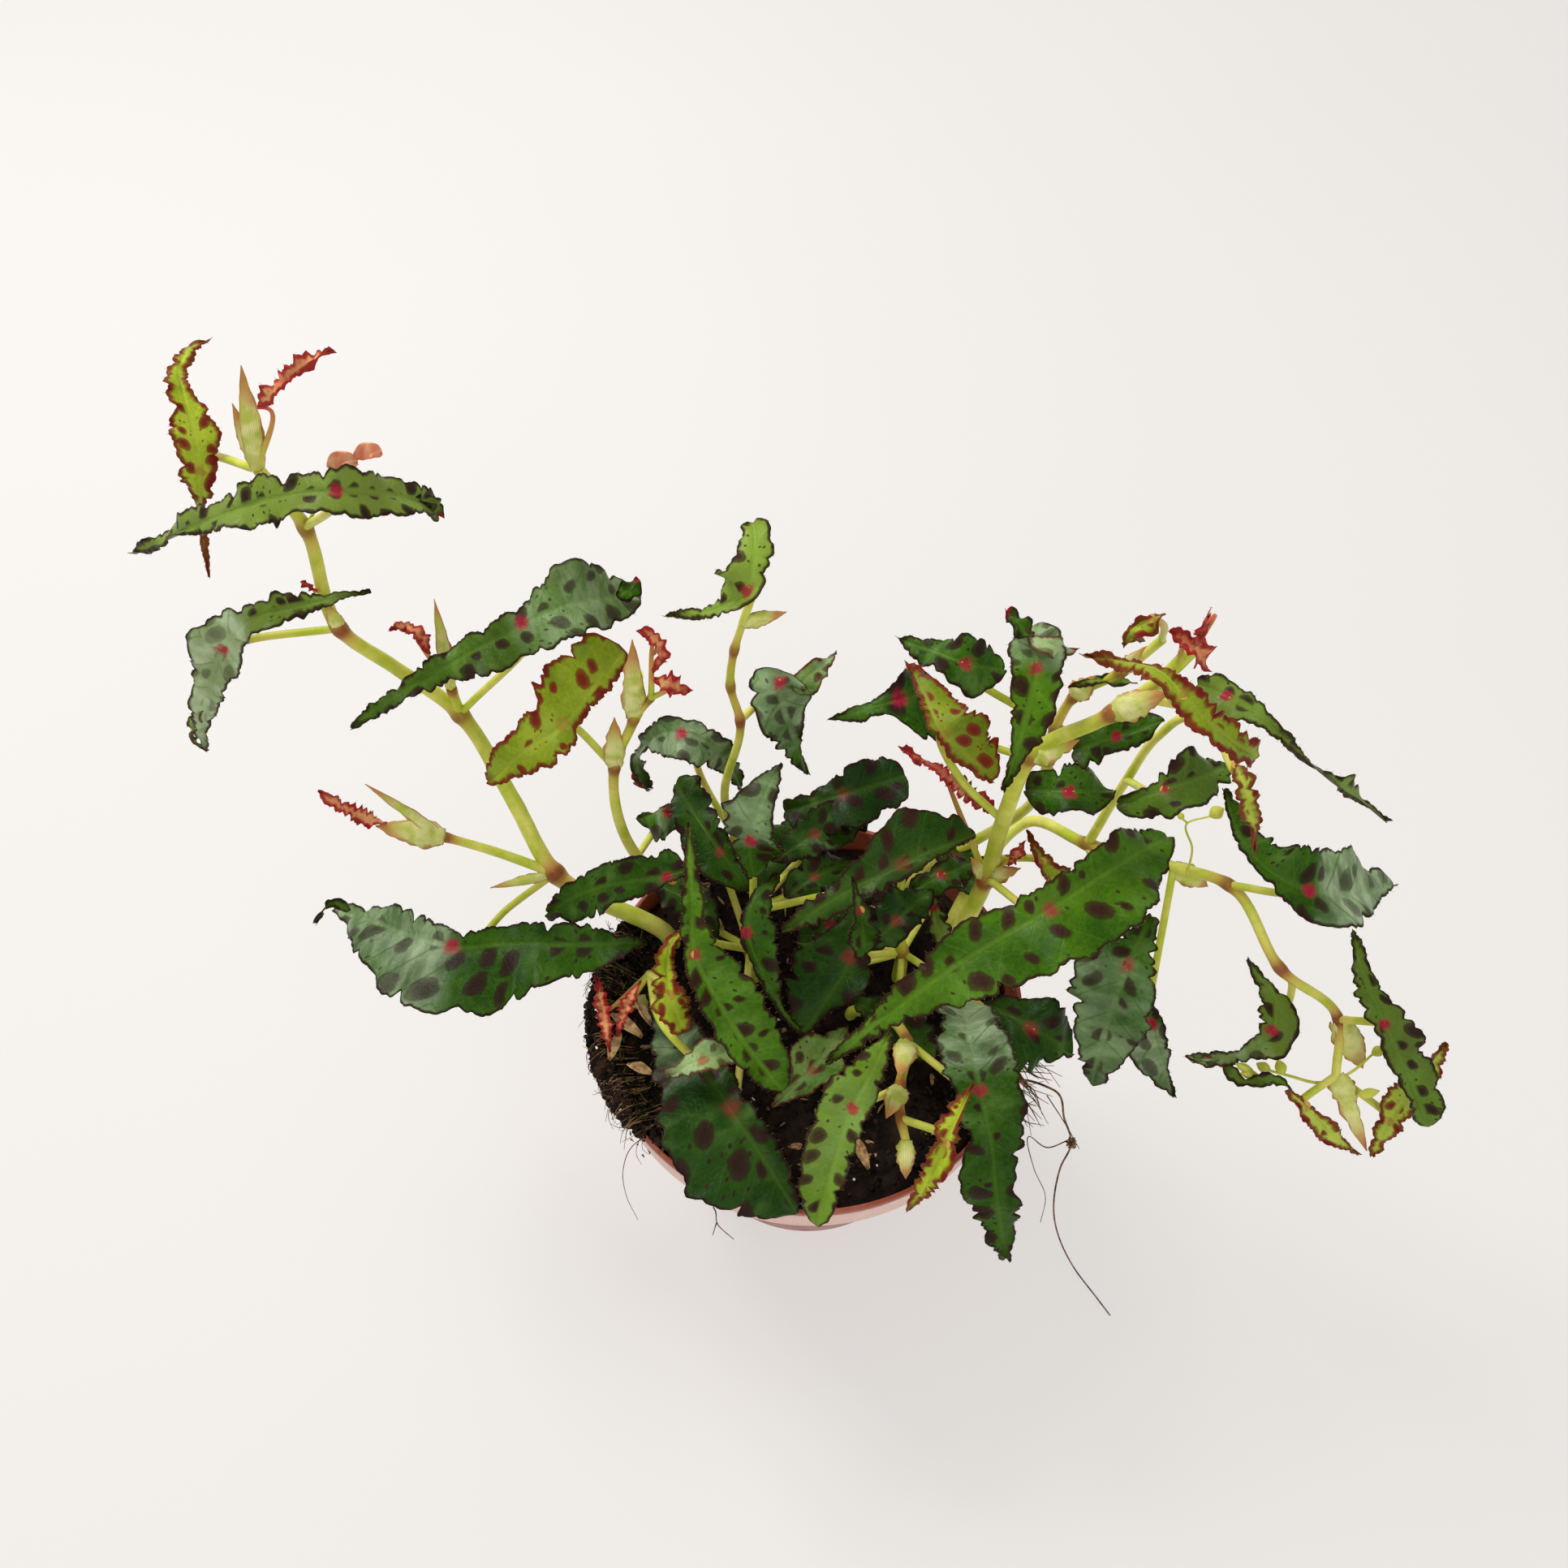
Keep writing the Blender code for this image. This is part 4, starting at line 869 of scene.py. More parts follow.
def leaf_finish(name, dark, light, spots, rim, rib, gloss, rim_width, warmth):
    """A glossy skin with dark spots in rows, a dark margin, faint veins, a red middle and painted
    highlights.
    """
    skin = Finish(name, specular=0.08)
    along, across, margin = skin.carried("blade")
    under, painted_sheen_share, number = skin.carried("marks")
    shade, size, tail = skin.carried("look")
    wide = abs(across)
    deep = (0 - shade).most(0)
    # Noise over the flat blade, different on each one
    flat = skin.node("ShaderNodeCombineXYZ", {}, {0: along, 1: across, 2: number * 31})
    wander = skin.cloud(flat, 6.0, 2.0) - 0.5
    blotch = skin.cloud(flat, 14.0, 3.0)
    fleck = skin.cloud(flat, 1.1, 3.0)
    # Dark spots in the cells of a lattice that leans away from the midrib
    stretch = 0.85 + 0.4 * (number * 0.37).repeat()
    cells = skin.node("ShaderNodeCombineXYZ", {}, {
        0: (along - 0.35 * wide + 3 * wander) * stretch / size + number * 3.37,
        1: across / stretch / size + number * 1.71})
    lattice = {"voronoi_dimensions": "2D"}
    values = {"Vector": cells, "Scale": 1.0, "Randomness": 0.7}
    away = skin.node("ShaderNodeTexVoronoi", lattice, values)
    kind = skin.node("ShaderNodeSeparateColor", {}, {
        0: skin.node("ShaderNodeTexVoronoi", lattice, values, out=1)})
    bound = 0.14 + 0.22 * kind + 0.1 * wander
    spot = 1 - (away - bound + 0.06 * (fleck - 0.5)).between(-0.05, 0.04)
    core = 1 - (away - bound * 0.6).between(-0.08, 0.08)
    small = skin.node("ShaderNodeTexVoronoi", lattice, {
        "Vector": cells, "Scale": 2.3, "Randomness": 0.95})
    spot = spot.most((1 - small.between(0.1, 0.15)) * blotch.between(0.52, 0.58))
    spot = spot * wide.between(0.4, 1.3)
    # Side veins, the net between them, the midrib and the red heart
    vein = (((abs(along) - VEIN_SLANT * wide + 1.2 * wander) / VEIN_PITCH).repeat() - 0.5)
    vein = (1 - abs(vein).between(0.015, 0.06)) * wide.between(0.3, 1.4)
    net = skin.node("ShaderNodeTexVoronoi", {"feature": "DISTANCE_TO_EDGE"}, {
        "Vector": flat, "Scale": 0.7})
    net = 1 - net.between(0.02, 0.1)
    midrib = 1 - wide.between(0.2, 0.8)
    reach = skin.node("ShaderNodeVectorMath", {"operation": "LENGTH"}, {
        0: skin.node("ShaderNodeCombineXYZ", {}, {0: along, 1: across})}, out=1)
    heart = 1 - (reach + 3.5 * wander + 2.4 * (fleck - 0.5)).between(0.7, 0.34 * size)
    # The colours, laid over each other from the green to the underside
    green = skin.mixed(dark, light, (blotch * 0.8 + fleck * 0.3).between(0.34, 0.76))
    green = skin.mixed(green, tint(14, 34, 16), deep * 0.75)
    green = skin.mixed(green, tint(190, 206, 92), shade.most(0) * 0.6)
    green = skin.mixed(green, rib, (1 - wide.between(0.4, 3.5)) * 0.08)
    green = skin.mixed(green, rib, (vein * 0.06 + net * 0.05 + midrib * 0.12) * (1 - 0.6 * deep))
    # Painted highlights: broad, brushed patches of lighter green on every blade, and a pale painted
    # sheen where the row asks for one, stand for the gloss that the lamps and the sky give on the
    # skin.
    sheen_brushed = skin.node("ShaderNodeMapping", {}, {0: flat, 3: (1.0, 0.4, 1.0)})
    streak = skin.cloud(sheen_brushed, 3.4, 4.0).between(0.36, 0.72)
    patch = skin.cloud(flat, 17.0, 2.0).between(0.4, 0.66)
    painted_sheen_mix = painted_sheen_share * (0.12 + 0.24 * patch + 0.34 * streak)
    green = skin.mixed(green, tint(132, 172, 84), 0.26 * patch * patch * streak)
    green = skin.mixed(green, tint(182, 200, 160), (painted_sheen_mix * (1 - 0.5 * vein)).least(0.85))
    green = skin.mixed(green, spots, spot * (0.82 + 0.16 * core) * (1 - 0.25 * painted_sheen_share))
    line = 1 - (margin + 0.8 * wander * rim_width + 0.5 * fleck).between(
        0.4 * rim_width, rim_width)
    burnt = 1 - (tail + 3 * wander).between(0.8, 4.0)
    green = skin.mixed(green, rim, line.most(burnt * 0.7) * 0.92)
    green = skin.mixed(green, tint(158, 12, 52), heart * warmth * (1 - 0.7 * deep))
    green = skin.mixed(green, skin.mixed(green, tint(146, 128, 92), 0.4), under)
    skin.feed(skin.shader, {
        "Base Color": green,
        "Roughness": gloss + 0.14 * fleck + 0.08 * spot + 0.14 * under - 0.06 * painted_sheen_share})
    relief = 0.5 + 0.25 * fleck + 0.1 * spot - 0.3 * vein - 0.2 * net - 0.4 * midrib
    skin.raised(relief, 0.25 * MM, 0.7)
    return skin


LEAF_FINISHES = {
    "dark": leaf_finish("leaf_dark_green", tint(22, 54, 1), tint(54, 96, 8),
                        tint(44, 24, 20), tint(40, 17, 14), tint(112, 150, 50), 0.24, 1.35, 0.9),
    "bright": leaf_finish("leaf_bright_green", tint(42, 84, 2), tint(82, 126, 14),
                          tint(52, 27, 20), tint(50, 20, 16), tint(140, 176, 62), 0.26, 1.35, 0.85),
    "young": leaf_finish("leaf_young_green", tint(122, 148, 8), tint(176, 192, 44),
                         tint(116, 30, 22), tint(112, 22, 22), tint(196, 202, 88), 0.32, 2.1, 0.4),
    "pale": leaf_finish("leaf_pale_green", tint(72, 118, 30), tint(140, 170, 88),
                        tint(72, 40, 28), tint(92, 40, 30), tint(180, 196, 126), 0.3, 1.2, 0.6),
    "red": leaf_finish("leaf_sprout_red", tint(184, 76, 52), tint(232, 168, 112),
                       tint(146, 24, 30), tint(150, 16, 30), tint(236, 176, 120), 0.36, 1.8, 0.3),
}

stem_skin = Finish("stem_fleshy", specular=0.22)
where = stem_skin.place()
knot, red = stem_skin.carried("marks")[:2]
blush = stem_skin.cloud(where, 9 * MM, 3.0)
streak = stem_skin.cloud(where, 2.4 * MM, 3.0)
dots = stem_skin.cloud(where, 0.5 * MM, 1.0).between(0.66, 0.74)
flesh = stem_skin.mixed(tint(182, 194, 50), tint(226, 220, 108), blush.between(0.3, 0.7))
flesh = stem_skin.mixed(flesh, tint(160, 172, 40), streak.between(0.45, 0.75) * 0.3)
warm = (red * 0.9 + blush - 0.55).between(0.2, 0.9)
flesh = stem_skin.mixed(flesh, tint(196, 124, 62), warm * 0.8)
flesh = stem_skin.mixed(flesh, tint(196, 70, 52), red.between(0.95, 1.5))
flesh = stem_skin.mixed(flesh, tint(128, 56, 28), knot * (0.4 + 0.7 * blush))
flesh = stem_skin.mixed(flesh, tint(226, 224, 150), dots * 0.3)
stem_skin.feed(stem_skin.shader, {"Base Color": flesh, "Roughness": 0.3 + 0.16 * streak})
stem_skin.raised(streak * 0.7 + dots * 0.3, 0.1 * MM, 0.5)

paper = Finish("sheath_papery", specular=0.2)
across, margin = paper.carried("blade")[1:]
ribs = (across * 2.6 + 0.4 * paper.cloud(paper.place(), 4 * MM)).repeat()
ribs = 1 - abs(ribs - 0.5).between(0.06, 0.2)
dried = paper.cloud(paper.place(), 5 * MM, 3.0)
sheet = paper.mixed(tint(192, 200, 84), tint(234, 230, 156), dried.between(0.35, 0.65))
sheet = paper.mixed(sheet, tint(150, 164, 48), ribs * 0.5)
sheet = paper.mixed(sheet, tint(190, 126, 66), (margin + dried * 0.8).between(0.7, 1.2) * 0.9)
paper.feed(paper.shader, {"Base Color": sheet, "Roughness": 0.48 + 0.2 * dried})
paper.raised(0.5 + 0.3 * ribs, 0.1 * MM, 0.6)

piping, given = new_tree("round_stems", [("Sides", "Int"), ("Material", "Material")])
lines = branch(piping, "GeometryNodeMeshToCurve", {}, {0: given["Geometry"]})
ring = branch(piping, "GeometryNodeCurvePrimitiveCircle", {}, {0: given["Sides"], 4: 1.0})
thick = branch(piping, "GeometryNodeInputNamedAttribute", {"data_type": "FLOAT"}, {0: "thick"})
piped = branch(piping, "GeometryNodeCurveToMesh", {}, {
    0: lines.outputs[0], 1: ring.outputs[0], 2: thick.outputs[0], 3: True})
close_tree(piping, piped.outputs[0], given["Material"])


def tubes(name, paths, sides, finish):
    """Round strands along paths, whose rows hold a point, its radius and three marks."""
    points = []
    edges = []
    for path in paths:
        edges += [(len(points) + i, len(points) + i + 1) for i in range(len(path) - 1)]
        points += path
    piece = new_piece(name, [row[0] for row in points], [], edges)
    kept = piece.data.attributes.new("thick", "FLOAT", "POINT")
    kept.data.foreach_set("value", [row[1] for row in points])
    carry(piece, "marks", [row[2] for row in points])
    grow(piece, piping, {"Sides": sides, "Material": finish.material})
    piece.data.polygons.foreach_set("use_smooth", [True] * len(piece.data.polygons))
    return piece


def route_of(name, stems):
    """The route of a stem, which for a twig begins at its parent's knot."""
    row = next(row for row in stems if row.name == name)
    if row.parent is None:
        return Route(row.route)
    parent = route_of(row.parent, stems)
    return Route([parent.at(parent.share_at(row.knot)), *row.route])


def stem_path(row, stems):
    """The rings of a stem, swollen and darker at its knots."""
    route = route_of(row.name, stems)
    knots = [route.share_at(i) for i in row.knots]
    count = round(route.length / RING_STEP)
    path = []
    for i in range(count + 1):
        share = i / count
        radius = row.thick[0] + (row.thick[1] - row.thick[0]) * share
        gaps = [(share - knot) * route.length for knot in knots]
        near = sum(exp(-(gap / SWELL_LENGTH) ** 2) for gap in gaps)
        tan_ends = sum(exp(-(gap / BLUSH_LENGTH) ** 2) for gap in gaps)
        lump = noise.noise(route.at(share) / (4 * MM)) * 0.04
        path.append((route.at(share), radius * (1 + SWELL * near + lump),
                     (min(near * 1.3, 1.0), min(0.15 + 0.6 * tan_ends, 0.9), share)))
    return path


def stalk_path(row, stems):
    """From its stem to the blade's middle, with a slightly wider neck under the blade."""
    blade = Blade(row)
    stem_route = route_of(row.on, stems)
    passes = [stem_route.at(stem_route.share_at(row.knot)), *row.by]
    end = blade.under_spot(STALK_SINK)
    lead = min(SPROUT_LEAD if row.fused else STALK_LEAD, 0.3 * (end - passes[-1]).length)
    route = Route([*passes, blade.under_spot(lead), end])
    radius = STALK_RADIUS * (FUSED_SHARE if row.fused else STALK_SHARE)
    count = max(4, round(route.length / RING_STEP))
    path = []
    for i in range(count + 1):
        share = i / count
        neck = 1 + STALK_NECK * exp(-(1 - share) * route.length / NECK_LENGTH)
        red = 0.3 + 0.6 * share ** 3
        if row.tone == "red":
            red = 0.3 + 1.2 * share
            neck *= 1 - 0.55 * share
        path.append((route.at(share), radius * neck, (0.0, red, 1.0)))
    return path


def sheet_faces(rows, wide, first=0):
    """The faces between rows of points, each row wide points long."""
    starts = [first + i * wide + k for i in range(rows - 1) for k in range(wide - 1)]
    return [(a, a + 1, a + wide + 1, a + wide) for a in starts]


def thicken(piece, thickness, offset=0):
    """Makes a solid of a sheet, half of it to each side, or all below it with offset -1."""
    wall = piece.modifiers.new("wall", "SOLIDIFY")
    wall.thickness = thickness
    wall.offset = offset
    settle(piece)


def sheath_piece(name, sheaths, stems):
    """Papery sheaths, each a thin sheet bent round its knot and drawn out to a point."""
    points = []
    faces = []
    measures = []
    for row in sheaths:
        stem_route = route_of(row.on, stems)
        foot = stem_route.at(stem_route.share_at(row.knot))
        tip = seen(*row.tip)
        along = (tip - foot).normalized()
        across = along.cross(EYE - foot).normalized()
        off = across.cross(along)
        length = (tip - foot).length / MM
        faces += sheet_faces(SHEATH_ROWS + 1, SHEATH_TURNS + 1, len(points))
        for i in range(SHEATH_ROWS + 1):
            share = i / SHEATH_ROWS
            half = row.width / 2 * smooth(SHEATH, share)
            middle = foot.lerp(tip, share) + off * row.width * SHEATH_BOW * sin(pi * share)
            for k in range(SHEATH_TURNS + 1):
                bend = (k / SHEATH_TURNS - 0.5) * radians(SHEATH_WRAP - SHEATH_OPENING * share)
                crinkle = 1 + 0.4 * noise.noise(Vector((share * 8, k * 0.7, row.tip[0])))
                turned_out = across * sin(bend) + off * 0.5 * cos(bend)
                points.append(middle + turned_out * half * crinkle)
                measures.append((share * length, bend * half / MM,
                                 max(share, abs(k / SHEATH_TURNS - 0.5) * 2) ** 2))
    piece = new_piece(name, points, faces)
    carry(piece, "blade", measures)
    thicken(piece, SHEATH_THICK)
    piece.data.materials.append(paper.material)
    return piece


leaf_count = 0
hairs = []


def hang_blade(row, node):
    """Makes the row's blade, which stands for a node of the part."""
    global leaf_count
    leaf_count += 1
    blade = blade_piece(row, leaf_count)
    blade.data.materials.append(LEAF_FINISHES[row.tone].material)
    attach(blade, "root")
    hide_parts(node)
    "leaf_" + row.tone


def hairs_of(row):
    """Short hairs that stand out from both margins of a blade."""
    blade = Blade(row)
    found = []
    count = int(blade.route.length / (HAIR_STEP * BLADE_STEP))
    for i in range(1, count):
        share = i / count
        along, side, off = blade.facing(share)
        for way in (-1, 1):
            reach = blade.reach(share, way)
            rim = blade.route.at(share) + side * reach * way
            rim += off * blade.rise(share, way, 1.0, reach)
            lean = side * way + along * noise.noise(Vector((i, way, row.spot))) + off * 0.3
            long = HAIR_LENGTH + HAIR_SPREAD * noise.noise(Vector((i * 1.7, way, 3)))
            found.append([(rim + lean * long * t, HAIR_RADIUS * (1 - 0.8 * t), (0, 0, 0))
                          for t in (-0.2, 0.5, 1)])
    return found


def plant(stems, leaves, sheaths):
    """Dresses stems with all that grows on them, each piece standing for its node."""
    roots = {row.name: row for row in stems}
    for row in leaves:
        host = roots[row.on]
        hang_blade(row, (host.parent or host.name) if row.fused else row.name)
        hairs.extend(hairs_of(row))
    for host in stems:
        if host.parent:
            continue
        family = [row.name for row in stems if host.name in (row.name, row.parent)]
        paths = [stem_path(roots[name], stems) for name in family]
        paths += [stalk_path(row, stems) for row in leaves if row.on in family]
        sides = THICK_SIDES if host.thick[0] > THICK else THIN_SIDES
        flesh = tubes(host.name + "_flesh", paths, sides, stem_skin)
        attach(flesh, "root")
        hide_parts(host.name)
        wraps = [row for row in sheaths if row.on in family]
        if wraps:
            wrapped = sheath_piece(host.name + "_sheaths", wraps, stems)
            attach(wrapped, "root")
            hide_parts(host.name)


plant([
    stem("cane_left", (2.7, 1.5), (-41, 22, 84), [
        (684, 1076, 99), (632, 985, 116), (567, 880, 135), (486, 822, 154), (418, 774, 172),
        (376, 650, 200), (318, 578, 222)], (2, 4, 6, 7)),
    twig("cane_left_side", "cane_left", 2, (1.5, 1.2), [(612, 1050, 108), (547, 1031, 117)]),
    twig("cane_left_bud", "cane_left", 4, (1.6, 1.2), [(556, 848, 146)]),
], [
    leaf("leaf_left_1", "young", "cane_left", 8, [
        (258, 713, 184), (247, 640, 198), (246, 580, 214), (240, 531, 222), (226, 480, 227),
        (222, 450, 228), (236, 428, 228), (259, 420, 226)], 2,
        (0.5, 0.8, 2, 4.5, 5.8, 4.2, 2.4, 1), (0.5, 1.5, 3, 3.9, 5.9, 1.9, 2.6, 1), shade=0.1),
    leaf("leaf_left_2", "dark", "cane_left", 7, [
        (164, 683, 190), (225, 656, 206), (285, 631, 218), (355, 611, 226), (415, 606, 227),
        (465, 608, 222), (513, 617, 213), (541, 625, 205)], 4,
        (0.5, 2.6, 4.6, 4.5, 6.3, 5.2, 5.3, 4.7, 2.5), (0.5, 1.2, 1.4, 3.6, 6.1, 5.8, 6.3, 5, 2.5),
        shade=0.5),
    leaf("leaf_left_3", "dark", "cane_left", 6, [
        (460, 729, 190), (383, 744, 190), (341, 753, 188), (303, 769, 183), (276, 800, 176),
        (263, 835, 168), (254, 867, 160), (250, 923, 143)], 4,
        (0.5, 2, 4, 5.8, 6.8, 4.6, 2.4, 2), (0.5, 2.6, 4, 5.8, 8.4, 5.4, 2.8, 2.2),
        sheen=(0.42, 1.0, 1.8), shade=0.35),
    leaf("leaf_left_4", "dark", "cane_left", 4, [
        (432, 899, 150), (489, 856, 161), (545, 824, 169), (592, 797, 175), (644, 769, 181),
        (700, 745, 183), (745, 737, 179), (782, 735, 172)], 4,
        (0.6, 2.2, 2.8, 4.2, 4.5, 4.4, 9.5, 9.5, 6), (0.6, 2.2, 4, 5, 8.5, 8.8, 9.5, 8.4, 4),
        sheen=(0.62, 1.1, 0.7), shade=0.1),
    leaf("leaf_left_5", "dark", "cane_left", 2, [
        (800, 1162, 106), (700, 1164, 107), (636, 1162, 106), (558, 1166, 102), (480, 1142, 98),
        (410, 1119, 91)], 3,
        (0.8, 7, 11, 17.5, 19, 18.5, 14.5, 7, 1.5), (0.8, 5, 6, 5.6, 4, 6, 6.3, 4.5, 1.5),
        [(625, 1120, 91)], sheen=(0.56, 1.1, 1.0), shade=-0.1),
    sprout("cane_left", 8, [
        (412, 431, 258), (385, 443, 256), (352, 468, 252), (318, 502, 246)], 3,
        (0.4, 1.2, 1.4, 1.8, 1.5), (0.4, 2.6, 2.8, 2.8, 1.5)),
    sprout("cane_left_side", 2, [
        (391, 974, 138), (420, 993, 134), (447, 1006, 130), (476, 1014, 127)], 3,
        (0.6, 2, 2.6, 2.6, 1.5), (0.6, 2, 2.6, 3, 1.5)),
    sprout("cane_left_bud", 1, [
        (480, 778, 170), (500, 771, 171), (518, 784, 168), (530, 806, 162)], 2,
        (0.5, 1.6, 2.2, 2, 1), (0.5, 1.6, 2.2, 2, 1)),
    sprout("cane_left", 6.4, [(370, 717, 190), (390, 727, 187)], 1, (1, 1.6, 1), (1, 1.6, 1)),
], [
    stipule("cane_left", 8, 5, (297, 450, 252)),
    stipule("cane_left", 8, 4, (286, 497, 240)),
    stipule("cane_left", 6, 4, (402, 744, 184)),
    stipule("cane_left_bud", 1, 4, (535, 738, 178)),
    stipule("cane_left_side", 2, 8, (463, 1018, 127)),
    stipule("cane_left_side", 2, 3, (450, 966, 142)),
    stipule("cane_left", 2, 3, (604, 1094, 103)),
])

# --- Left middle cane -------------------------------------------------------------------------
# A thin green cane between the left one and the crown. It carries one upright young leaf, one
# low dark one, a small one at the rim and two red buds of leaves at its tip.
plant([
    stem("cane_left_middle", (1.8, 1.2), (-34, 35, 82), [
        (785, 1055, 102), (757, 945, 137), (781, 885, 157), (787, 830, 176)], (3, 4)),
    twig("cane_left_middle_bud", "cane_left_middle", 4, (1.1, 0.9), [(802, 860, 167)]),
], [
    leaf("leaf_middle_1", "young", "cane_left_middle", 3, [
        (600, 963, 138), (648, 926, 147), (694, 893, 152), (730, 850, 160), (757, 815, 165),
        (771, 800, 166)], 2, (3, 6.3, 9.2, 13.6, 11.3, 9), (3, 5, 8.6, 3.4, 4.5, 3),
        shade=-0.35),
    leaf("leaf_middle_2", "dark", "cane_left_middle", 2, [
        (674, 1125, 105), (720, 1100, 113), (775, 1086, 120), (821, 1080, 124), (846, 1074, 125)],
        3, (1.5, 4.7, 6.3, 6.5, 8), (3, 7.2, 7.5, 4.2, 2)),
    leaf("leaf_crown_11", "dark", "cane_left_middle", 2, [
        (784, 1008, 104), (822, 1002, 106), (846, 1012, 102)], 1,
        (1, 1.2, 2, 3, 2), (2, 7.8, 8.7, 6, 4), sheen=(0.4, 1.1, 0.7)),
    sprout("cane_left_middle_bud", 1, [
        (850, 853, 176), (828, 843, 179), (806, 837, 178)], 1, (1, 3.2, 2), (1, 3, 2)),
    sprout("cane_left_middle_bud", 1, [
        (784, 777, 198), (800, 781, 198), (813, 800, 194), (809, 826, 187)], 2,
        (0.5, 1.8, 2.4, 2, 1), (0.5, 1.8, 2.4, 2, 1)),
], [
    stipule("cane_left_middle", 3, 6, (757, 884, 157)),
    stipule("cane_left_middle", 4, 6, (779, 788, 192)),
])

# --- Back cane --------------------------------------------------------------------------------
# A slim stem at the back of the pot, seen between the leaves, with one bright upright leaf at
# its top and two darker ones lower down.
plant([
    stem("cane_back", (1.4, 1.0), (-18, 42, 80), [
        (893, 985, 110), (912, 888, 145), (900, 845, 160), (905, 800, 175),
        (915, 768, 186)], (3, 4, 5)),
], [
    leaf("leaf_back_1", "bright", "cane_back", 6, [
        (820, 760, 182), (862, 756, 190), (898, 744, 196), (920, 728, 200), (928, 695, 204),
        (930, 665, 206), (928, 643, 206)], 3,
        (0.6, 1.5, 2.9, 7.8, 5.2, 4.7), (0.6, 0.9, 2.5, 3.2, 4.6, 3.8), shade=0.55),
    leaf("leaf_back_2", "dark", "cane_back", 3, [
        (996, 954, 128), (977, 905, 142), (964, 868, 151), (960, 842, 156), (966, 826, 158)],
        3, (0.5, 4.2, 6.6, 8, 7.8), (0.5, 1.3, 3.6, 9, 13), sheen=(0.3, 1.1, 0.7)),
    leaf("leaf_back_3", "dark", "cane_back", 1.6, [
        (800, 972, 92), (788, 950, 101), (786, 932, 110), (797, 915, 118), (829, 902, 126),
        (866, 912, 126), (895, 937, 117), (914, 970, 104)], 4.35,
        (1.5, 2.5, 1.6, 4.5, 4.6, 3.4, 2), (1.5, 3, 2.5, 7, 8, 4, 2), [(866, 962, 104)],
        sheen=(0.2, 0.9, 0.8)),
], [
    stipule("cane_back", 6, 4, (969, 754, 192)),
])

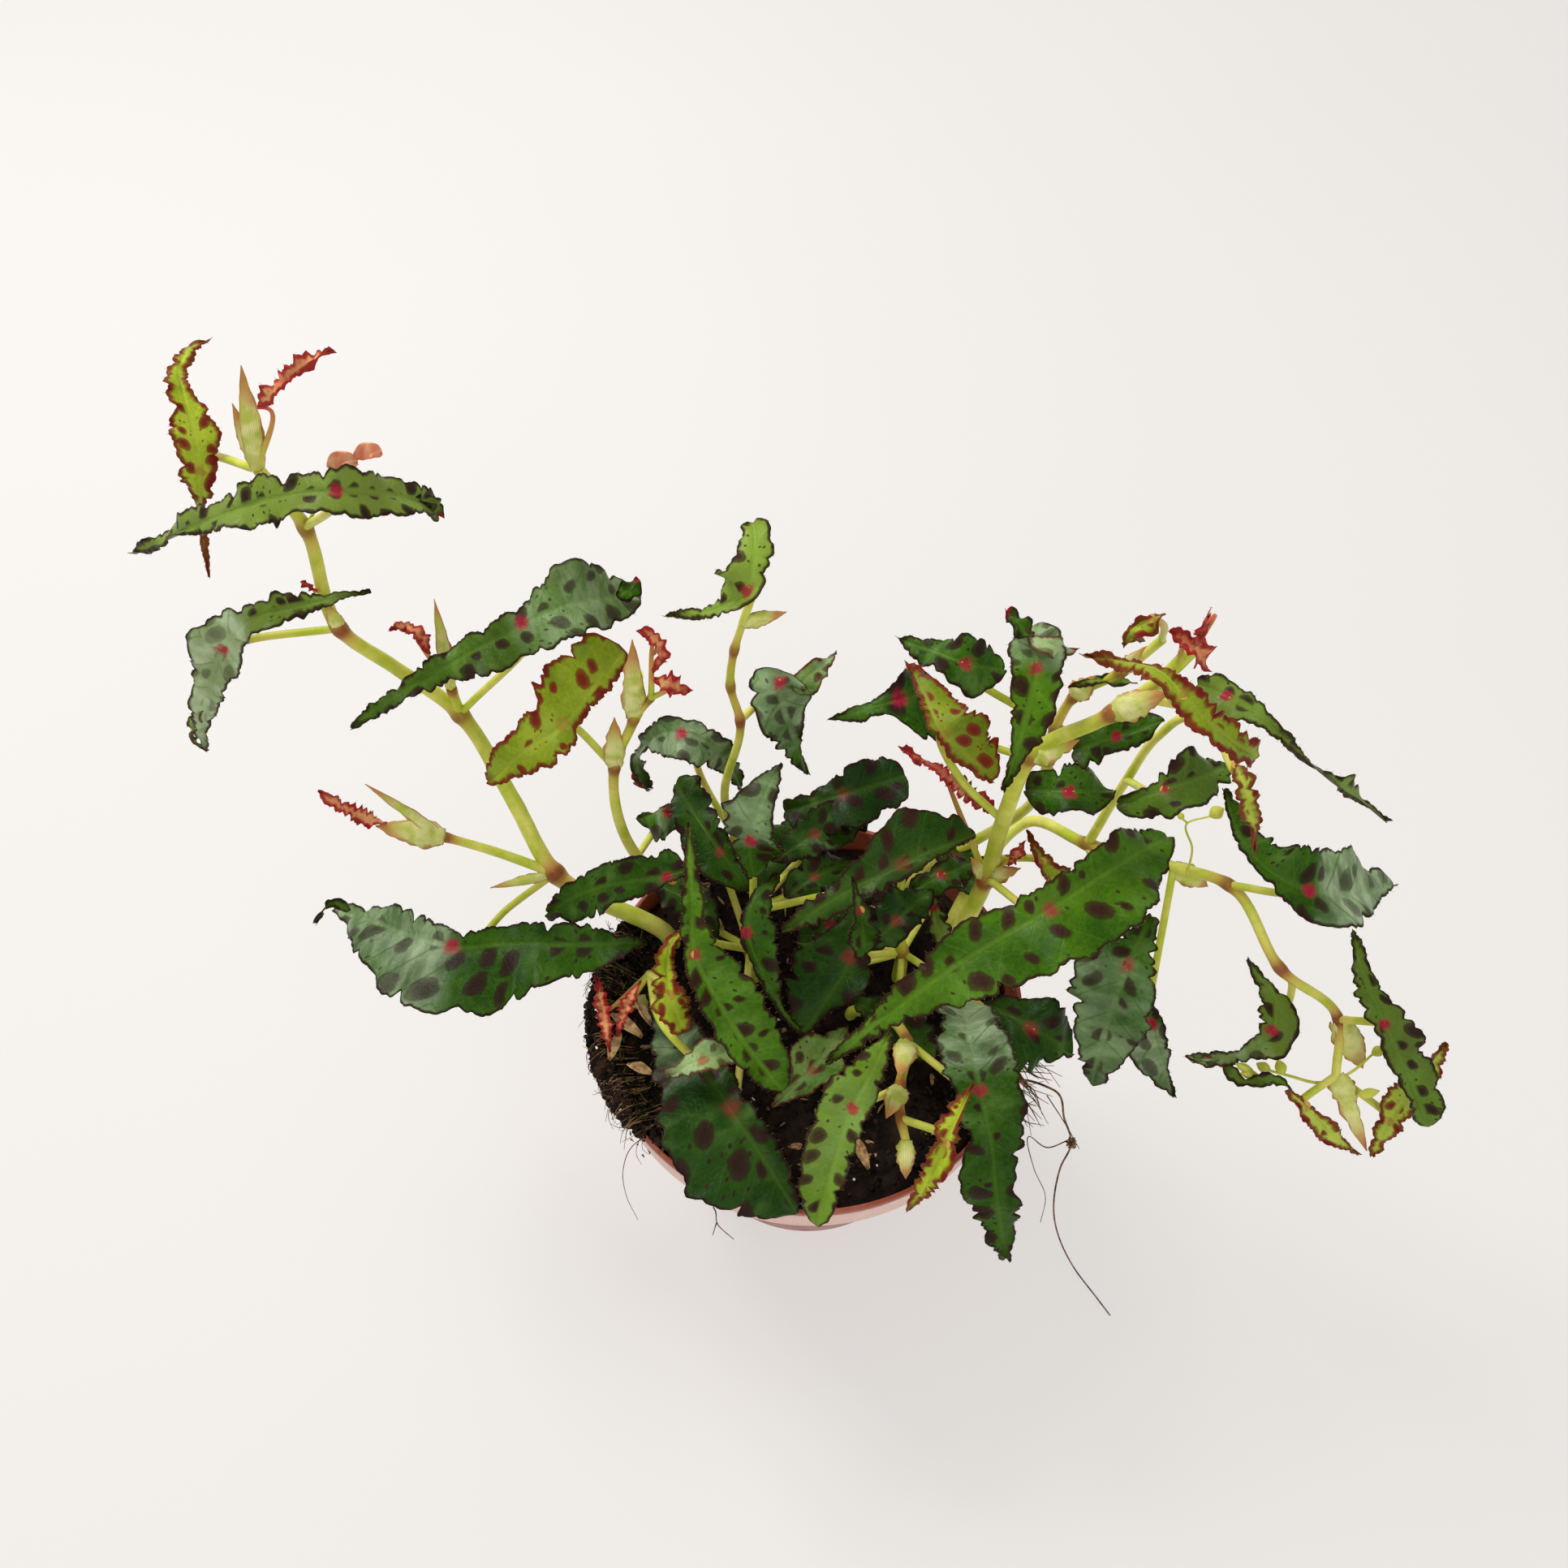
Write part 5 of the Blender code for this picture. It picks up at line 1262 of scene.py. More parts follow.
# --- Centre cane and the one behind it --------------------------------------------------------
# The thickest cane rises from the middle and leans right; a thinner one grows close behind it.
# They hold the broad spotted leaf and the fan of leaves above the right side.
plant([
    stem("cane_centre", (2.7, 1.5), (38, 12, 80), [
        (1215, 1082, 120), (1236, 1011, 148), (1272, 930, 175), (1372, 878, 203),
        (1430, 838, 216), (1470, 800, 226)], (2, 4, 5)),
    stem("cane_rear", (1.7, 1.1), (30, 40, 80), [
        (1275, 985, 125), (1300, 897, 162), (1324, 858, 178), (1383, 827, 194),
        (1432, 788, 210)], (3, 4, 5)),
], [
    leaf("leaf_centre_1", "bright", "cane_centre", 4, [
        (1236, 975, 184), (1254, 920, 194), (1268, 870, 202), (1277, 822, 208), (1272, 770, 210)],
        3, (0.8, 1.5, 4.2, 5.8, 6), (0.8, 3.7, 6.4, 6.3, 7),
        sheen=(0.75, 1.1, 1.0), shade=-0.05),
    leaf("leaf_centre_2", "young", "cane_centre", 3, [
        (1116, 815, 168), (1135, 850, 172), (1162, 905, 173), (1195, 935, 168), (1224, 963, 161)],
        2, (0.5, 3.4, 8, 9.2, 10.3, 5), (0.5, 1.2, 2.2, 2.7, 3.1, 2), [(1190, 968, 152)],
        shade=-0.65),
    leaf("leaf_centre_3", "dark", "cane_rear", 3, [
        (1106, 786, 166), (1150, 803, 170), (1190, 817, 172), (1238, 825, 168)], 2,
        (0.5, 2.7, 6, 7.2, 5.5), (0.5, 4.2, 5.2, 8, 3)),
    leaf("leaf_centre_4", "dark", "cane_rear", 2.5, [
        (1020, 887, 142), (1065, 874, 148), (1108, 862, 150), (1165, 850, 146)], 2,
        (0.5, 1, 2.2, 3.3, 7, 8, 6), (0.5, 2.2, 3.6, 5, 13, 14.5, 9)),
    leaf("leaf_centre_5", "young", "cane_centre", 6, [
        (1335, 809, 222), (1385, 815, 230), (1428, 826, 234), (1458, 855, 234), (1490, 890, 230),
        (1524, 918, 224), (1552, 933, 217)], 3,
        (0.5, 1.2, 1.6, 3.8, 4.1, 2.5), (0.5, 2, 4, 3.6, 4.2, 2.5), shade=-0.35),
    leaf("leaf_centre_6", "dark", "cane_centre", 5.5, [
        (1709, 1013, 176), (1675, 985, 186), (1640, 962, 196), (1610, 936, 203),
        (1580, 908, 208), (1548, 878, 211), (1510, 857, 211), (1474, 843, 207)], 6,
        (0.5, 0.7, 0.8, 0.9, 1.5, 5.5, 5), (0.5, 1.8, 3, 1, 1.3, 3.6, 3), shade=0.4),
    leaf("leaf_centre_8", "dark", "cane_rear", 3, [
        (1322, 925, 164), (1375, 908, 172), (1436, 888, 178)], 1,
        (4, 5, 5, 4.5, 3), (6, 5.5, 5, 4, 1)),
    leaf("leaf_centre_9", "red", "cane_centre", 2, [
        (1108, 920, 140), (1165, 955, 150), (1224, 1000, 146)], 1,
        (0.5, 1.2, 2.2, 3, 3.2), (0.5, 1.6, 1.8, 3, 3.5), shade=-0.7),
    leaf("leaf_centre_10", "dark", "cane_rear", 2.5, [
        (1263, 974, 147), (1318, 975, 152), (1372, 974, 147)], 1,
        (4, 5.5, 8.2, 5.8, 1), (2, 7, 6, 6.5, 2)),
    leaf("leaf_centre_11", "young", "cane_centre", 2.3, [
        (1264, 1022, 130), (1285, 1062, 126), (1312, 1102, 114)], 1,
        (0.5, 1.8, 3.8, 5, 4), (0.5, 1.8, 3, 5, 4), shade=-0.35),
    leaf("leaf_centre_12", "young", "cane_rear", 6, [
        (1384, 796, 226), (1396, 774, 231), (1418, 762, 234), (1436, 757, 236)], 2,
        (0.8, 1.2, 1.2, 1.4, 1.3), (0.8, 3.4, 3.6, 3.9, 2.5), fused=True, shade=-0.2),
    leaf("leaf_broad", "bright", "cane_centre", 2, [
        (1016, 1312, 118), (1100, 1245, 138), (1200, 1175, 153), (1294, 1120, 161),
        (1375, 1068, 161), (1440, 1030, 153)], 3,
        (0.8, 2.3, 4.3, 6.6, 7.3, 6, 6, 7, 4), (0.8, 3, 4.6, 9.5, 12, 15, 14.6, 9.3, 3),
        shade=-0.3),
    sprout("cane_centre", 2, [(1262, 1036, 142), (1253, 1052, 138), (1242, 1066, 132)], 1,
           (0.6, 2, 1), (0.6, 2, 1)),
    sprout("cane_centre", 7, [(1491, 756, 252), (1482, 776, 245), (1471, 798, 236)], 1,
           (0.4, 1.2, 0.8), (0.4, 1.2, 0.8)),
    sprout("cane_centre", 6.6, [
        (1440, 778, 238), (1466, 793, 238), (1488, 824, 231)], 1, (0.6, 3.2, 1.5), (0.6, 3.4, 1.5)),
], [
    stipule("cane_centre", 2, 4.5, (1196, 1056, 130)),
    stipule("cane_centre", 2, 5, (1258, 1070, 134)),
    stipule("cane_centre", 4, 7, (1330, 912, 188)),
    stipule("cane_centre", 5, 7, (1442, 852, 219)),
    stipule("cane_rear", 4, 6, (1350, 832, 190)),
    stipule("cane_rear", 5, 4, (1414, 796, 206)),
])

# --- Trailing cane ----------------------------------------------------------------------------
# A long stem that reaches out past the rim on the right and hangs down, with a side twig that
# stands upright and leaves of several ages along it.
plant([
    stem("cane_trailing", (1.9, 1.2), (41, 25, 86), [
        (1269, 1012, 100), (1340, 1040, 112), (1446, 1068, 122), (1514, 1090, 125),
        (1577, 1193, 115), (1649, 1256, 102), (1646, 1325, 94)], (3, 5, 6, 7)),
    twig("cane_right", "cane_trailing", 3, (1.4, 1.1), [
        (1388, 961, 142), (1429, 905, 164), (1462, 884, 174), (1500, 905, 178)]),
], [
    leaf("leaf_centre_7", "dark", "cane_right", 1, [
        (1376, 990, 166), (1435, 973, 173), (1478, 958, 173), (1514, 944, 169)], 1,
        (1, 2.2, 6.2, 6.7, 3), (3, 6.5, 7.5, 5.4, 3), shade=0.15),
    leaf("leaf_centre_13", "young", "cane_right", 4, [
        (1545, 1050, 176), (1545, 1010, 184), (1535, 975, 188), (1522, 942, 188)], 3,
        (0.5, 1.4, 3.3, 2.4, 1.5), (0.5, 1.4, 2.4, 3.2, 2.5), fused=True, shade=0.8),
    leaf("leaf_trailing_1", "dark", "cane_trailing", 5, [
        (1507, 971, 150), (1527, 1030, 149), (1565, 1075, 147), (1614, 1097, 144),
        (1668, 1102, 138), (1718, 1090, 128)], 3,
        (1, 4, 7, 9.8, 11, 12.2, 7.2, 5.5), (0.8, 1.2, 2.5, 4.8, 8.8, 8.3, 3.2, 1),
        sheen=(0.56, 1.1, 1.3)),
    leaf("leaf_trailing_2", "dark", "cane_trailing", 7, [
        (1667, 1145, 118), (1682, 1205, 120), (1706, 1262, 118), (1730, 1315, 110),
        (1760, 1390, 94)], 2, (0.8, 2.1, 4, 6.8, 7, 6.6, 3), (0.8, 2.5, 4.6, 3.4, 3.6, 2.8, 2.5),
        shade=0.25),
    leaf("leaf_trailing_3", "dark", "cane_trailing", 6, [
        (1461, 1302, 86), (1500, 1303, 92), (1542, 1291, 99), (1568, 1270, 103),
        (1572, 1238, 105), (1536, 1181, 103)], 3,
        (0.8, 1.6, 1.5, 3.5, 5, 2.7, 0.6), (0.8, 3.2, 2.8, 6.5, 5, 1.5, 0.6),
        [(1592, 1214, 104), (1584, 1246, 95)], sheen=(-0.1, 0.45, 0.9), shade=0.3),
    leaf("leaf_trailing_4", "young", "cane_trailing", 8, [
        (1674, 1423, 86), (1640, 1392, 93), (1610, 1362, 97), (1586, 1342, 99)], 2,
        (0.5, 2.6, 4.3, 3.9, 1.2), (0.5, 1.6, 2.1, 1.3, 0.8), shade=1.0),
    leaf("leaf_trailing_5", "young", "cane_trailing", 8, [
        (1782, 1283, 96), (1750, 1330, 90), (1712, 1380, 84), (1690, 1425, 76)], 2,
        (1.5, 4, 4.5, 4, 2), (1, 1.5, 5, 3, 2), shade=0.8),
    leaf("leaf_right_1", "dark", "cane_trailing", 3, [
        (1420, 1128, 118), (1390, 1190, 118), (1368, 1250, 110), (1345, 1338, 90)], 1,
        (2, 5.3, 9.2, 10.5, 6.5, 3), (1.5, 6.5, 14.5, 10, 5.3, 3),
        sheen=(0.3, 1.1, 0.45), shade=-0.15),
    leaf("leaf_right_2", "dark", "cane_trailing", 4, [
        (1447, 1352, 80), (1432, 1310, 88), (1418, 1262, 93), (1408, 1205, 95)], 2,
        (0.5, 5.2, 8, 7, 4), (0.5, 2.1, 3.6, 3, 2.8), sheen=(-0.1, 0.6, 0.8)),
], [
    stipule("cane_trailing", 4, 6, (1488, 1092, 114)),
    stipule("cane_trailing", 7, 8, (1679, 1316, 90)),
    stipule("cane_trailing", 8, 7, (1668, 1366, 86)),
    stipule("cane_trailing", 8, 5, (1684, 1418, 76)),
])

# --- Front and low shoots ---------------------------------------------------------------------
# Two short young stems. The front one leans over the soil and bears the long leaves that hang
# over the rim; the low one sits in the litter at the left.
plant([
    stem("shoot_front", (1.8, 1.1), (12, 0, 80), [
        (1101, 1259, 92), (1118, 1284, 98), (1109, 1340, 104), (1110, 1378, 106),
        (1116, 1405, 106)], (3, 4, 5)),
    stem("shoot_low_left", (1.6, 1.1), (-44, 2, 84), [(800, 1200, 98)], (2,)),
], [
    leaf("leaf_front_2", "bright", "shoot_front", 4, [
        (1098, 1268, 118), (1076, 1318, 120), (1050, 1366, 117), (1030, 1425, 110),
        (1006, 1512, 98)], 2, (0.6, 3, 4.6, 4.3, 3.8, 3), (0.6, 5.2, 8.2, 8.4, 7.3, 4),
        sheen=(0.3, 0.8, 0.15), shade=0.25),
    leaf("leaf_front_3", "dark", "shoot_front", 3, [
        (1240, 1552, 76), (1228, 1470, 98), (1220, 1400, 109), (1208, 1345, 113),
        (1196, 1290, 113), (1186, 1230, 107)], 3,
        (1.5, 5.2, 7.5, 9.8, 7.5, 8.5, 8, 6), (1, 4.3, 5.6, 7.5, 10, 10.7, 8.2, 6),
        sheen=(0.7, 1.1, 1.0), shade=-0.2),
    leaf("leaf_front_4", "young", "shoot_front", 5, [
        (1200, 1334, 126), (1182, 1375, 124), (1165, 1410, 120), (1120, 1492, 102)], 2,
        (0.5, 1.1, 4.1, 3.5, 1), (0.5, 4.4, 3.3, 2.8, 1.2)),
    leaf("leaf_front_5", "pale", "shoot_low_left", 2, [
        (820, 1326, 109), (866, 1306, 113), (910, 1292, 109)], 1,
        (1.5, 2.4, 4.5, 4, 1), (1, 2.6, 4.2, 4, 3.5), [(816, 1262, 105)],
        sheen=(-0.1, 1.1, 1.0)),
    leaf("leaf_front_6", "young", "shoot_low_left", 2, [
        (858, 1130, 122), (825, 1172, 122), (826, 1225, 118), (842, 1272, 110)], 2,
        (0.5, 1.5, 2.2, 4.8, 3.5), (0.5, 2.7, 4.4, 5.4, 4)),
    sprout("shoot_low_left", 2, [(735, 1204, 98), (743, 1245, 99), (752, 1297, 94)], 1,
           (0.6, 2, 2.6, 2, 0.6), (0.6, 2, 2.6, 2, 0.6)),
    sprout("shoot_low_left", 2, [
        (790, 1208, 106), (774, 1236, 104), (760, 1278, 99)], 1,
        (0.6, 2, 2.4, 1.6, 0.6), (0.6, 2, 2.4, 1.6, 0.6)),
], [
    stipule("shoot_front", 3, 7, (1108, 1328, 109)),
    stipule("shoot_front", 4, 6, (1092, 1378, 111)),
    stipule("shoot_front", 6, 5, (1116, 1452, 102)),
    stipule("shoot_low_left", 1, 4, (757, 1240, 92)),
])

# --- Crown ------------------------------------------------------------------------------------
# Two stumpy stems in the middle of the pot, hidden under a dense fan of leaves, old dark ones
# below and brighter ones on top.
middle_stems = [
    stem("stem_middle_left", (2.2, 1.4), (-16, 12, 80), [
        stands(-17, 14, 92), stands(-16, 20, 104)], (2,)),
    stem("stem_middle_right", (2.4, 1.4), (26, 12, 80), [
        stands(26, 13, 92), stands(24, 15, 104)], (2,)),
]
plant(middle_stems, [
    leaf("leaf_right_3", "dark", "stem_middle_right", 2, [
        (1213, 1234, 97), (1270, 1266, 100), (1322, 1298, 90)], 1,
        (1, 5.7, 9.6, 8.5, 6), (2, 4.6, 13.5, 6.4, 1.5), shade=-0.6),
    leaf("leaf_front_1", "dark", "stem_middle_left", 2, [
        (800, 1222, 94), (850, 1294, 101), (899, 1366, 105), (945, 1435, 101), (984, 1497, 94)],
        2, (1, 5, 6, 7, 5, 5.5, 5, 1.5), (2, 5, 10, 15, 18.3, 21, 14.5, 4),
        sheen=(-0.1, 0.4, 0.5), shade=-0.8),
    leaf("leaf_crown_1", "bright", "stem_middle_left", 2, [
        (848, 1010, 152), (850, 1060, 149), (852, 1112, 143), (857, 1176, 134), (885, 1235, 124),
        (920, 1290, 114), (966, 1346, 104)], 3,
        (0.6, 2, 3.7, 6.5, 10, 10.2, 9.2, 4), (0.6, 1.6, 2.9, 3.7, 4.8, 5.5, 4.6, 3),
        shade=-0.1),
    leaf("leaf_crown_2", "dark", "stem_middle_left", 3, [
        (959, 1077, 120), (927, 1113, 120), (921, 1150, 117), (940, 1200, 111),
        (968, 1248, 104), (988, 1275, 99)], 2,
        (1.5, 5.3, 7.6, 5.3, 1.2, 1.5), (1, 2, 2.2, 2, 1.8, 1.2), shade=-0.15),
    leaf("leaf_crown_3", "dark", "stem_middle_right", 2, [
        (1050, 1082, 114), (1052, 1130, 111), (1048, 1180, 106), (1020, 1230, 100),
        (988, 1274, 94)], 2, (0.6, 2.5, 5.3, 7, 4.5, 2), (0.6, 2.3, 12.5, 16, 12, 5),
        shade=-0.6),
    leaf("leaf_crown_4", "bright", "stem_middle_right", 3, [
        (962, 1148, 124), (1010, 1118, 130), (1060, 1090, 136), (1110, 1066, 140),
        (1160, 1044, 141), (1204, 1030, 137)], 3,
        (0.8, 3.2, 4.2, 7.8, 13, 9.6, 3), (1, 3.7, 4.5, 4.5, 3.5, 2, 0.6), shade=-0.95),
    leaf("leaf_crown_5", "dark", "stem_middle_left", 3, [
        (966, 1000, 108), (1040, 978, 117), (1116, 955, 118)], 1,
        (3, 3.2, 6, 7.3, 7), (5, 10, 11.2, 9, 8), shade=-1.0),
    leaf("leaf_crown_6", "dark", "stem_middle_left", 3, [
        (964, 940, 142), (940, 985, 139), (924, 1035, 132), (928, 1081, 122)], 2,
        (0.8, 3.5, 5.2, 9, 4), (0.8, 5.8, 9.6, 4.5, 3), sheen=(-0.1, 0.7, 0.7)),
    leaf("leaf_crown_7", "dark", "stem_middle_left", 2, [
        (922, 1098, 106), (888, 1050, 112), (855, 1003, 112), (832, 966, 106)], 1,
        (2, 8, 8, 5.3, 2), (2, 4, 5.2, 7, 7), shade=-0.35),
    leaf("leaf_crown_8", "pale", "stem_middle_right", 2, [
        (950, 1365, 87), (1000, 1318, 91), (1042, 1265, 88)], 1,
        (1, 3, 8, 5.6, 2), (1, 3.5, 7, 5.5, 2), [stands(4, 6, 88)], shade=-0.2),
    leaf("leaf_crown_9", "dark", "stem_middle_right", 3, [
        (1141, 1074, 118), (1150, 1120, 116), (1163, 1165, 110)], 1,
        (0.4, 1.6, 2.6, 3.5, 3.5), (0.4, 0.8, 1.4, 3, 3), shade=0.35),
    leaf("leaf_crown_10", "dark", "stem_middle_right", 3, [
        (1120, 1098, 118), (1160, 1078, 122), (1198, 1062, 118)], 1,
        (2, 3, 3.5, 3.5, 3), (4, 5.5, 6, 4.6, 3), shade=-0.3),
], [])

# --- Undergrowth ------------------------------------------------------------------------------
# Older, shaded leaves low over the peat, which close the gaps between the leaves of the crown.
# They grow from the two middle stems, on short stalks of their own.
LOW_STALK_SIDES = 10

LOW_LEAVES = [
    ("right", 2, -0.6, [(1142, 1012, 104), (1180, 1058, 101), (1212, 1112, 95)],
     (1, 5, 7, 5, 2), (1, 5, 6, 5, 2)),
    ("left", 3, -0.7, [(950, 1062, 108), (1005, 1028, 112), (1075, 1004, 111)],
     (1, 5, 7, 6, 3), (1, 5, 7, 6, 3)),
    ("right", 2, -0.5, [(1050, 1232, 88), (1104, 1262, 91), (1152, 1306, 87)],
     (1, 5, 8, 7, 3), (1, 5, 7, 6, 3)),
    ("left", 2, -0.6, [(918, 1100, 95), (955, 1052, 99), (988, 1002, 99)],
     (1, 5, 6, 5, 2), (1, 5, 6, 5, 2)),
    ("right", 2, -0.4, [(985, 1190, 90), (1022, 1138, 93), (1072, 1098, 91)],
     (1, 6, 8, 6, 3), (1, 5, 7, 6, 3)),
    ("left", 2, -0.5, [(800, 1080, 96), (852, 1118, 98), (880, 1180, 93)],
     (1, 5, 7, 5, 2), (1, 5, 6, 5, 2)),
    ("right", 3, -0.75, [(1070, 1172, 116), (1104, 1134, 121), (1148, 1096, 121)],
     (1, 5, 7, 6, 2), (1, 5, 6, 5, 2)),
    ("left", 3, -0.25, [(1049, 1078, 143), (1060, 1122, 136), (1066, 1176, 124)],
     (0.4, 1.4, 3, 5, 5), (0.4, 1.2, 2.6, 4.4, 4)),
    ("left", 3, -0.6, [(966, 1106, 104), (1004, 1080, 107), (1050, 1062, 106)],
     (1, 5, 6, 5, 2), (1, 5, 6, 5, 2)),
]

low_leaves = [leaf(f"leaf_low_{i + 1}", "dark", "stem_middle_" + side, knot, route, 1, left, right,
                   shade=shade)
              for i, (side, knot, shade, route, left, right) in enumerate(LOW_LEAVES)]
for row in low_leaves:
    hang_blade(row, row.on)
low_stalks = tubes("low_stalks", [stalk_path(row, middle_stems) for row in low_leaves],
                   LOW_STALK_SIDES, stem_skin)
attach(low_stalks, "root")

# --- Curled ends ------------------------------------------------------------------------------
# Small withered or folded ends of blades, which stand up from them or hang on by their midrib,
# and narrow crinkled strips of leaf among the buds of the trailing cane.
curled_ends = [
    leaf("leaf_left_2_end", "dark", "leaf_left_2", 0, [
        (541, 636, 203), (530, 618, 210), (512, 612, 214)], 0,
        (1.5, 2.6, 2, 0.8), (1.5, 2.2, 1.4, 0.6), shade=0.25),
    leaf("leaf_left_5_end", "dark", "leaf_left_5", 0, [
        (390, 1138, 102), (398, 1122, 106), (412, 1114, 108), (432, 1122, 106)], 0,
        (0.5, 0.8, 1, 2, 2), (0.5, 0.8, 1, 2, 2)),
    leaf("leaf_left_4_end", "dark", "leaf_left_4", 0, [
        (786, 712, 182), (776, 724, 181), (760, 736, 180)], 0,
        (1.6, 3.2, 4, 3), (1, 2, 3, 3)),
    leaf("leaf_left_3_end", "pale", "leaf_left_3", 0, [
        (256, 926, 142), (240, 914, 145), (240, 894, 152), (250, 876, 158)], 0,
        (0.6, 1.2, 2, 2), (0.6, 1.4, 1.6, 2)),
    leaf("leaf_middle_end", "young", "leaf_back_3", 0, [
        (800, 974, 91), (786, 962, 96), (780, 944, 103)], 0,
        (0.8, 1.6, 1.2), (0.6, 1.4, 1.6)),
    leaf("leaf_centre_1_left", "dark", "leaf_centre_1", 0, [
        (1240, 752, 213), (1252, 766, 213), (1272, 786, 212)], 0,
        (1.4, 2, 3, 3.4), (1.2, 1.8, 2.4, 2)),
    leaf("leaf_centre_1_flap", "pale", "leaf_centre_1", 0, [
        (1326, 802, 208), (1306, 796, 211), (1282, 790, 212), (1262, 778, 212)], 0,
        (0.6, 2.2, 3.2, 2.6, 1), (0.6, 1.6, 1.8, 1.4, 0.6), shade=0.2, sheen=(-0.1, 1.1, 1.4)),
    leaf("leaf_back_2_corner", "pale", "leaf_back_2", 0, [
        (1031, 804, 157), (1018, 815, 158), (998, 832, 158), (978, 852, 155)], 0,
        (0.6, 1.8, 3.6, 5, 4), (0.6, 1.6, 3, 4, 3), shade=-0.5, sheen=(-0.1, 0.5, 0.7)),
    leaf("leaf_strip_rear", "bright", "cane_rear", 0, [
        (1316, 848, 186), (1350, 838, 189), (1402, 842, 189)], 0,
        (0.4, 1.3, 1.6, 1.2), (0.4, 1.2, 1.5, 1), shade=0.3),
    leaf("leaf_strip_trailing", "dark", "cane_trailing", 0, [
        (1504, 1312, 92), (1526, 1330, 93), (1550, 1334, 95), (1574, 1330, 97),
        (1592, 1344, 97)], 0, (0.8, 2.2, 1.6, 2.4, 1.6, 1), (0.8, 1.6, 2, 1.4, 1.8, 1), shade=0.2),
    leaf("leaf_strip_tail", "pale", "leaf_trailing_3", 0, [
        (1460, 1302, 87), (1480, 1308, 89), (1504, 1306, 92)], 0,
        (0.4, 1.4, 2), (0.4, 1.2, 1.4), sheen=(-0.1, 1.1, 1.2)),
]
for row in curled_ends:
    hang_blade(row, row.on)

# --- Hairs ------------------------------------------------------------------------------------
# Short reddish hairs that stand out all along the leaf margins, as on begonias of this kind.
# Where they grow was found with the blades.
HAIR_SIDES = 3

down = Finish("hair_reddish")
down.feed(down.shader, {"Base Color": down.mixed(
    tint(140, 62, 52), tint(196, 150, 120), down.cloud(down.place(), 8 * MM))})
hair = tubes("margin_hairs", hairs, HAIR_SIDES, down)
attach(hair, "root")

# --- Petals and buds --------------------------------------------------------------------------
# A spent flower with two orange petals, whose stalk rises behind the top leaf of the left cane,
# and small green buds on thread-like stalks from the trailing cane and the twig beside it.
PETAL_THICK = 0.3 * MM
PETAL_ROWS = 16
PETAL_HALF = 4
PETAL_WAVE = 0.5 * MM
BUD_RINGS = 10
BUD_SIDES = 10

petals = [([(405, 577, 220), (420, 566, 223), (441, 570, 222)], 2.0),
          ([(437, 563, 223), (455, 555, 225), (471, 558, 224)], 1.9)]
blush = Finish("petal_orange", 0.42)
where = blush.place()
flush = blush.cloud(where, 5 * MM, 2.0)
blush.feed(blush.shader, {"Base Color": blush.mixed(
    tint(214, 112, 84), tint(240, 178, 130), flush.between(0.3, 0.7))})
blush.raised(blush.cloud(where, 0.8 * MM), 0.1 * MM)
for i, (places, half) in enumerate(petals):
    route = Route(placed(places))
    points = []
    for k in range(PETAL_ROWS + 1):
        share = k / PETAL_ROWS
        off = (EYE - route.at(share)).normalized()
        side = route.along(share).cross(off).normalized()
        full = half * MM * sqrt(max(1 - (2 * share - 1) ** 2, 0.01))
        for j in range(-PETAL_HALF, PETAL_HALF + 1):
            part = j / PETAL_HALF
            cup = off * full * 0.35 * part ** 2 + off * PETAL_WAVE * sin(k + j)
            points.append(route.at(share) + side * full * part + cup * 0.6)
    petal = new_piece(f"petal_{i + 1}", points, sheet_faces(PETAL_ROWS + 1, 2 * PETAL_HALF + 1))
    thicken(petal, PETAL_THICK, -1)
    petal.data.materials.append(blush.material)
    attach(petal, "root")


def strand(places, radius, tip=None, step=0.8 * MM, marks=(0.0, 0.4, 1.0)):
    """A thin path through points, its radius in mm going evenly to that of its tip."""
    route = Route(placed(places))
    count = max(3, round(route.length / step))
    tip = radius if tip is None else tip
    return [(route.at(i / count), (radius + (tip - radius) * i / count) * MM, marks)
            for i in range(count + 1)]


def bud(foot, tip, radius):
    """A small egg-shaped bud between two places."""
    foot, tip = placed([foot, tip])
    return [(foot.lerp(tip, i / BUD_RINGS),
             radius * MM * max(sin(pi * (0.04 + 0.93 * i / BUD_RINGS)), 0.1),
             (0.0, 0.1, 1.0)) for i in range(BUD_RINGS + 1)]


bud_paths = [
    strand([(376, 650, 200), (392, 622, 207), (408, 592, 215), (424, 572, 221)], 0.45, 0.3),
    strand([(424, 572, 221), (440, 566, 222), (452, 560, 223)], 0.35, 0.25),
    strand([(1650, 1330, 93), (1622, 1334, 92), (1590, 1326, 92), (1560, 1318, 93)], 0.5, 0.35),
    bud((1566, 1320, 93), (1548, 1310, 94), 1.5),
    bud((1582, 1324, 92), (1574, 1306, 95), 1.6),
    bud((1552, 1326, 92), (1528, 1322, 92), 1.4),
    bud((1546, 1322, 92), (1522, 1310, 94), 1.2),
    strand([(1462, 1078, 123), (1469, 1046, 132), (1463, 1014, 140), (1490, 1006, 142)],
           0.35, 0.25),
    bud((1490, 1006, 142), (1508, 996, 145), 1.9),
    strand([(1463, 1014, 140), (1456, 1008, 143)], 0.3),
    bud((1458, 1010, 142), (1452, 1001, 144), 0.9),
    strand([(1650, 1330, 93), (1672, 1316, 96), (1690, 1300, 98)], 0.45, 0.3),
    bud((1690, 1300, 98), (1706, 1290, 100), 1.5),
    bud((1672, 1350, 92), (1700, 1344, 93), 1.4),
]
buds = tubes("green_buds", bud_paths, BUD_SIDES, stem_skin)
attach(buds, "root")

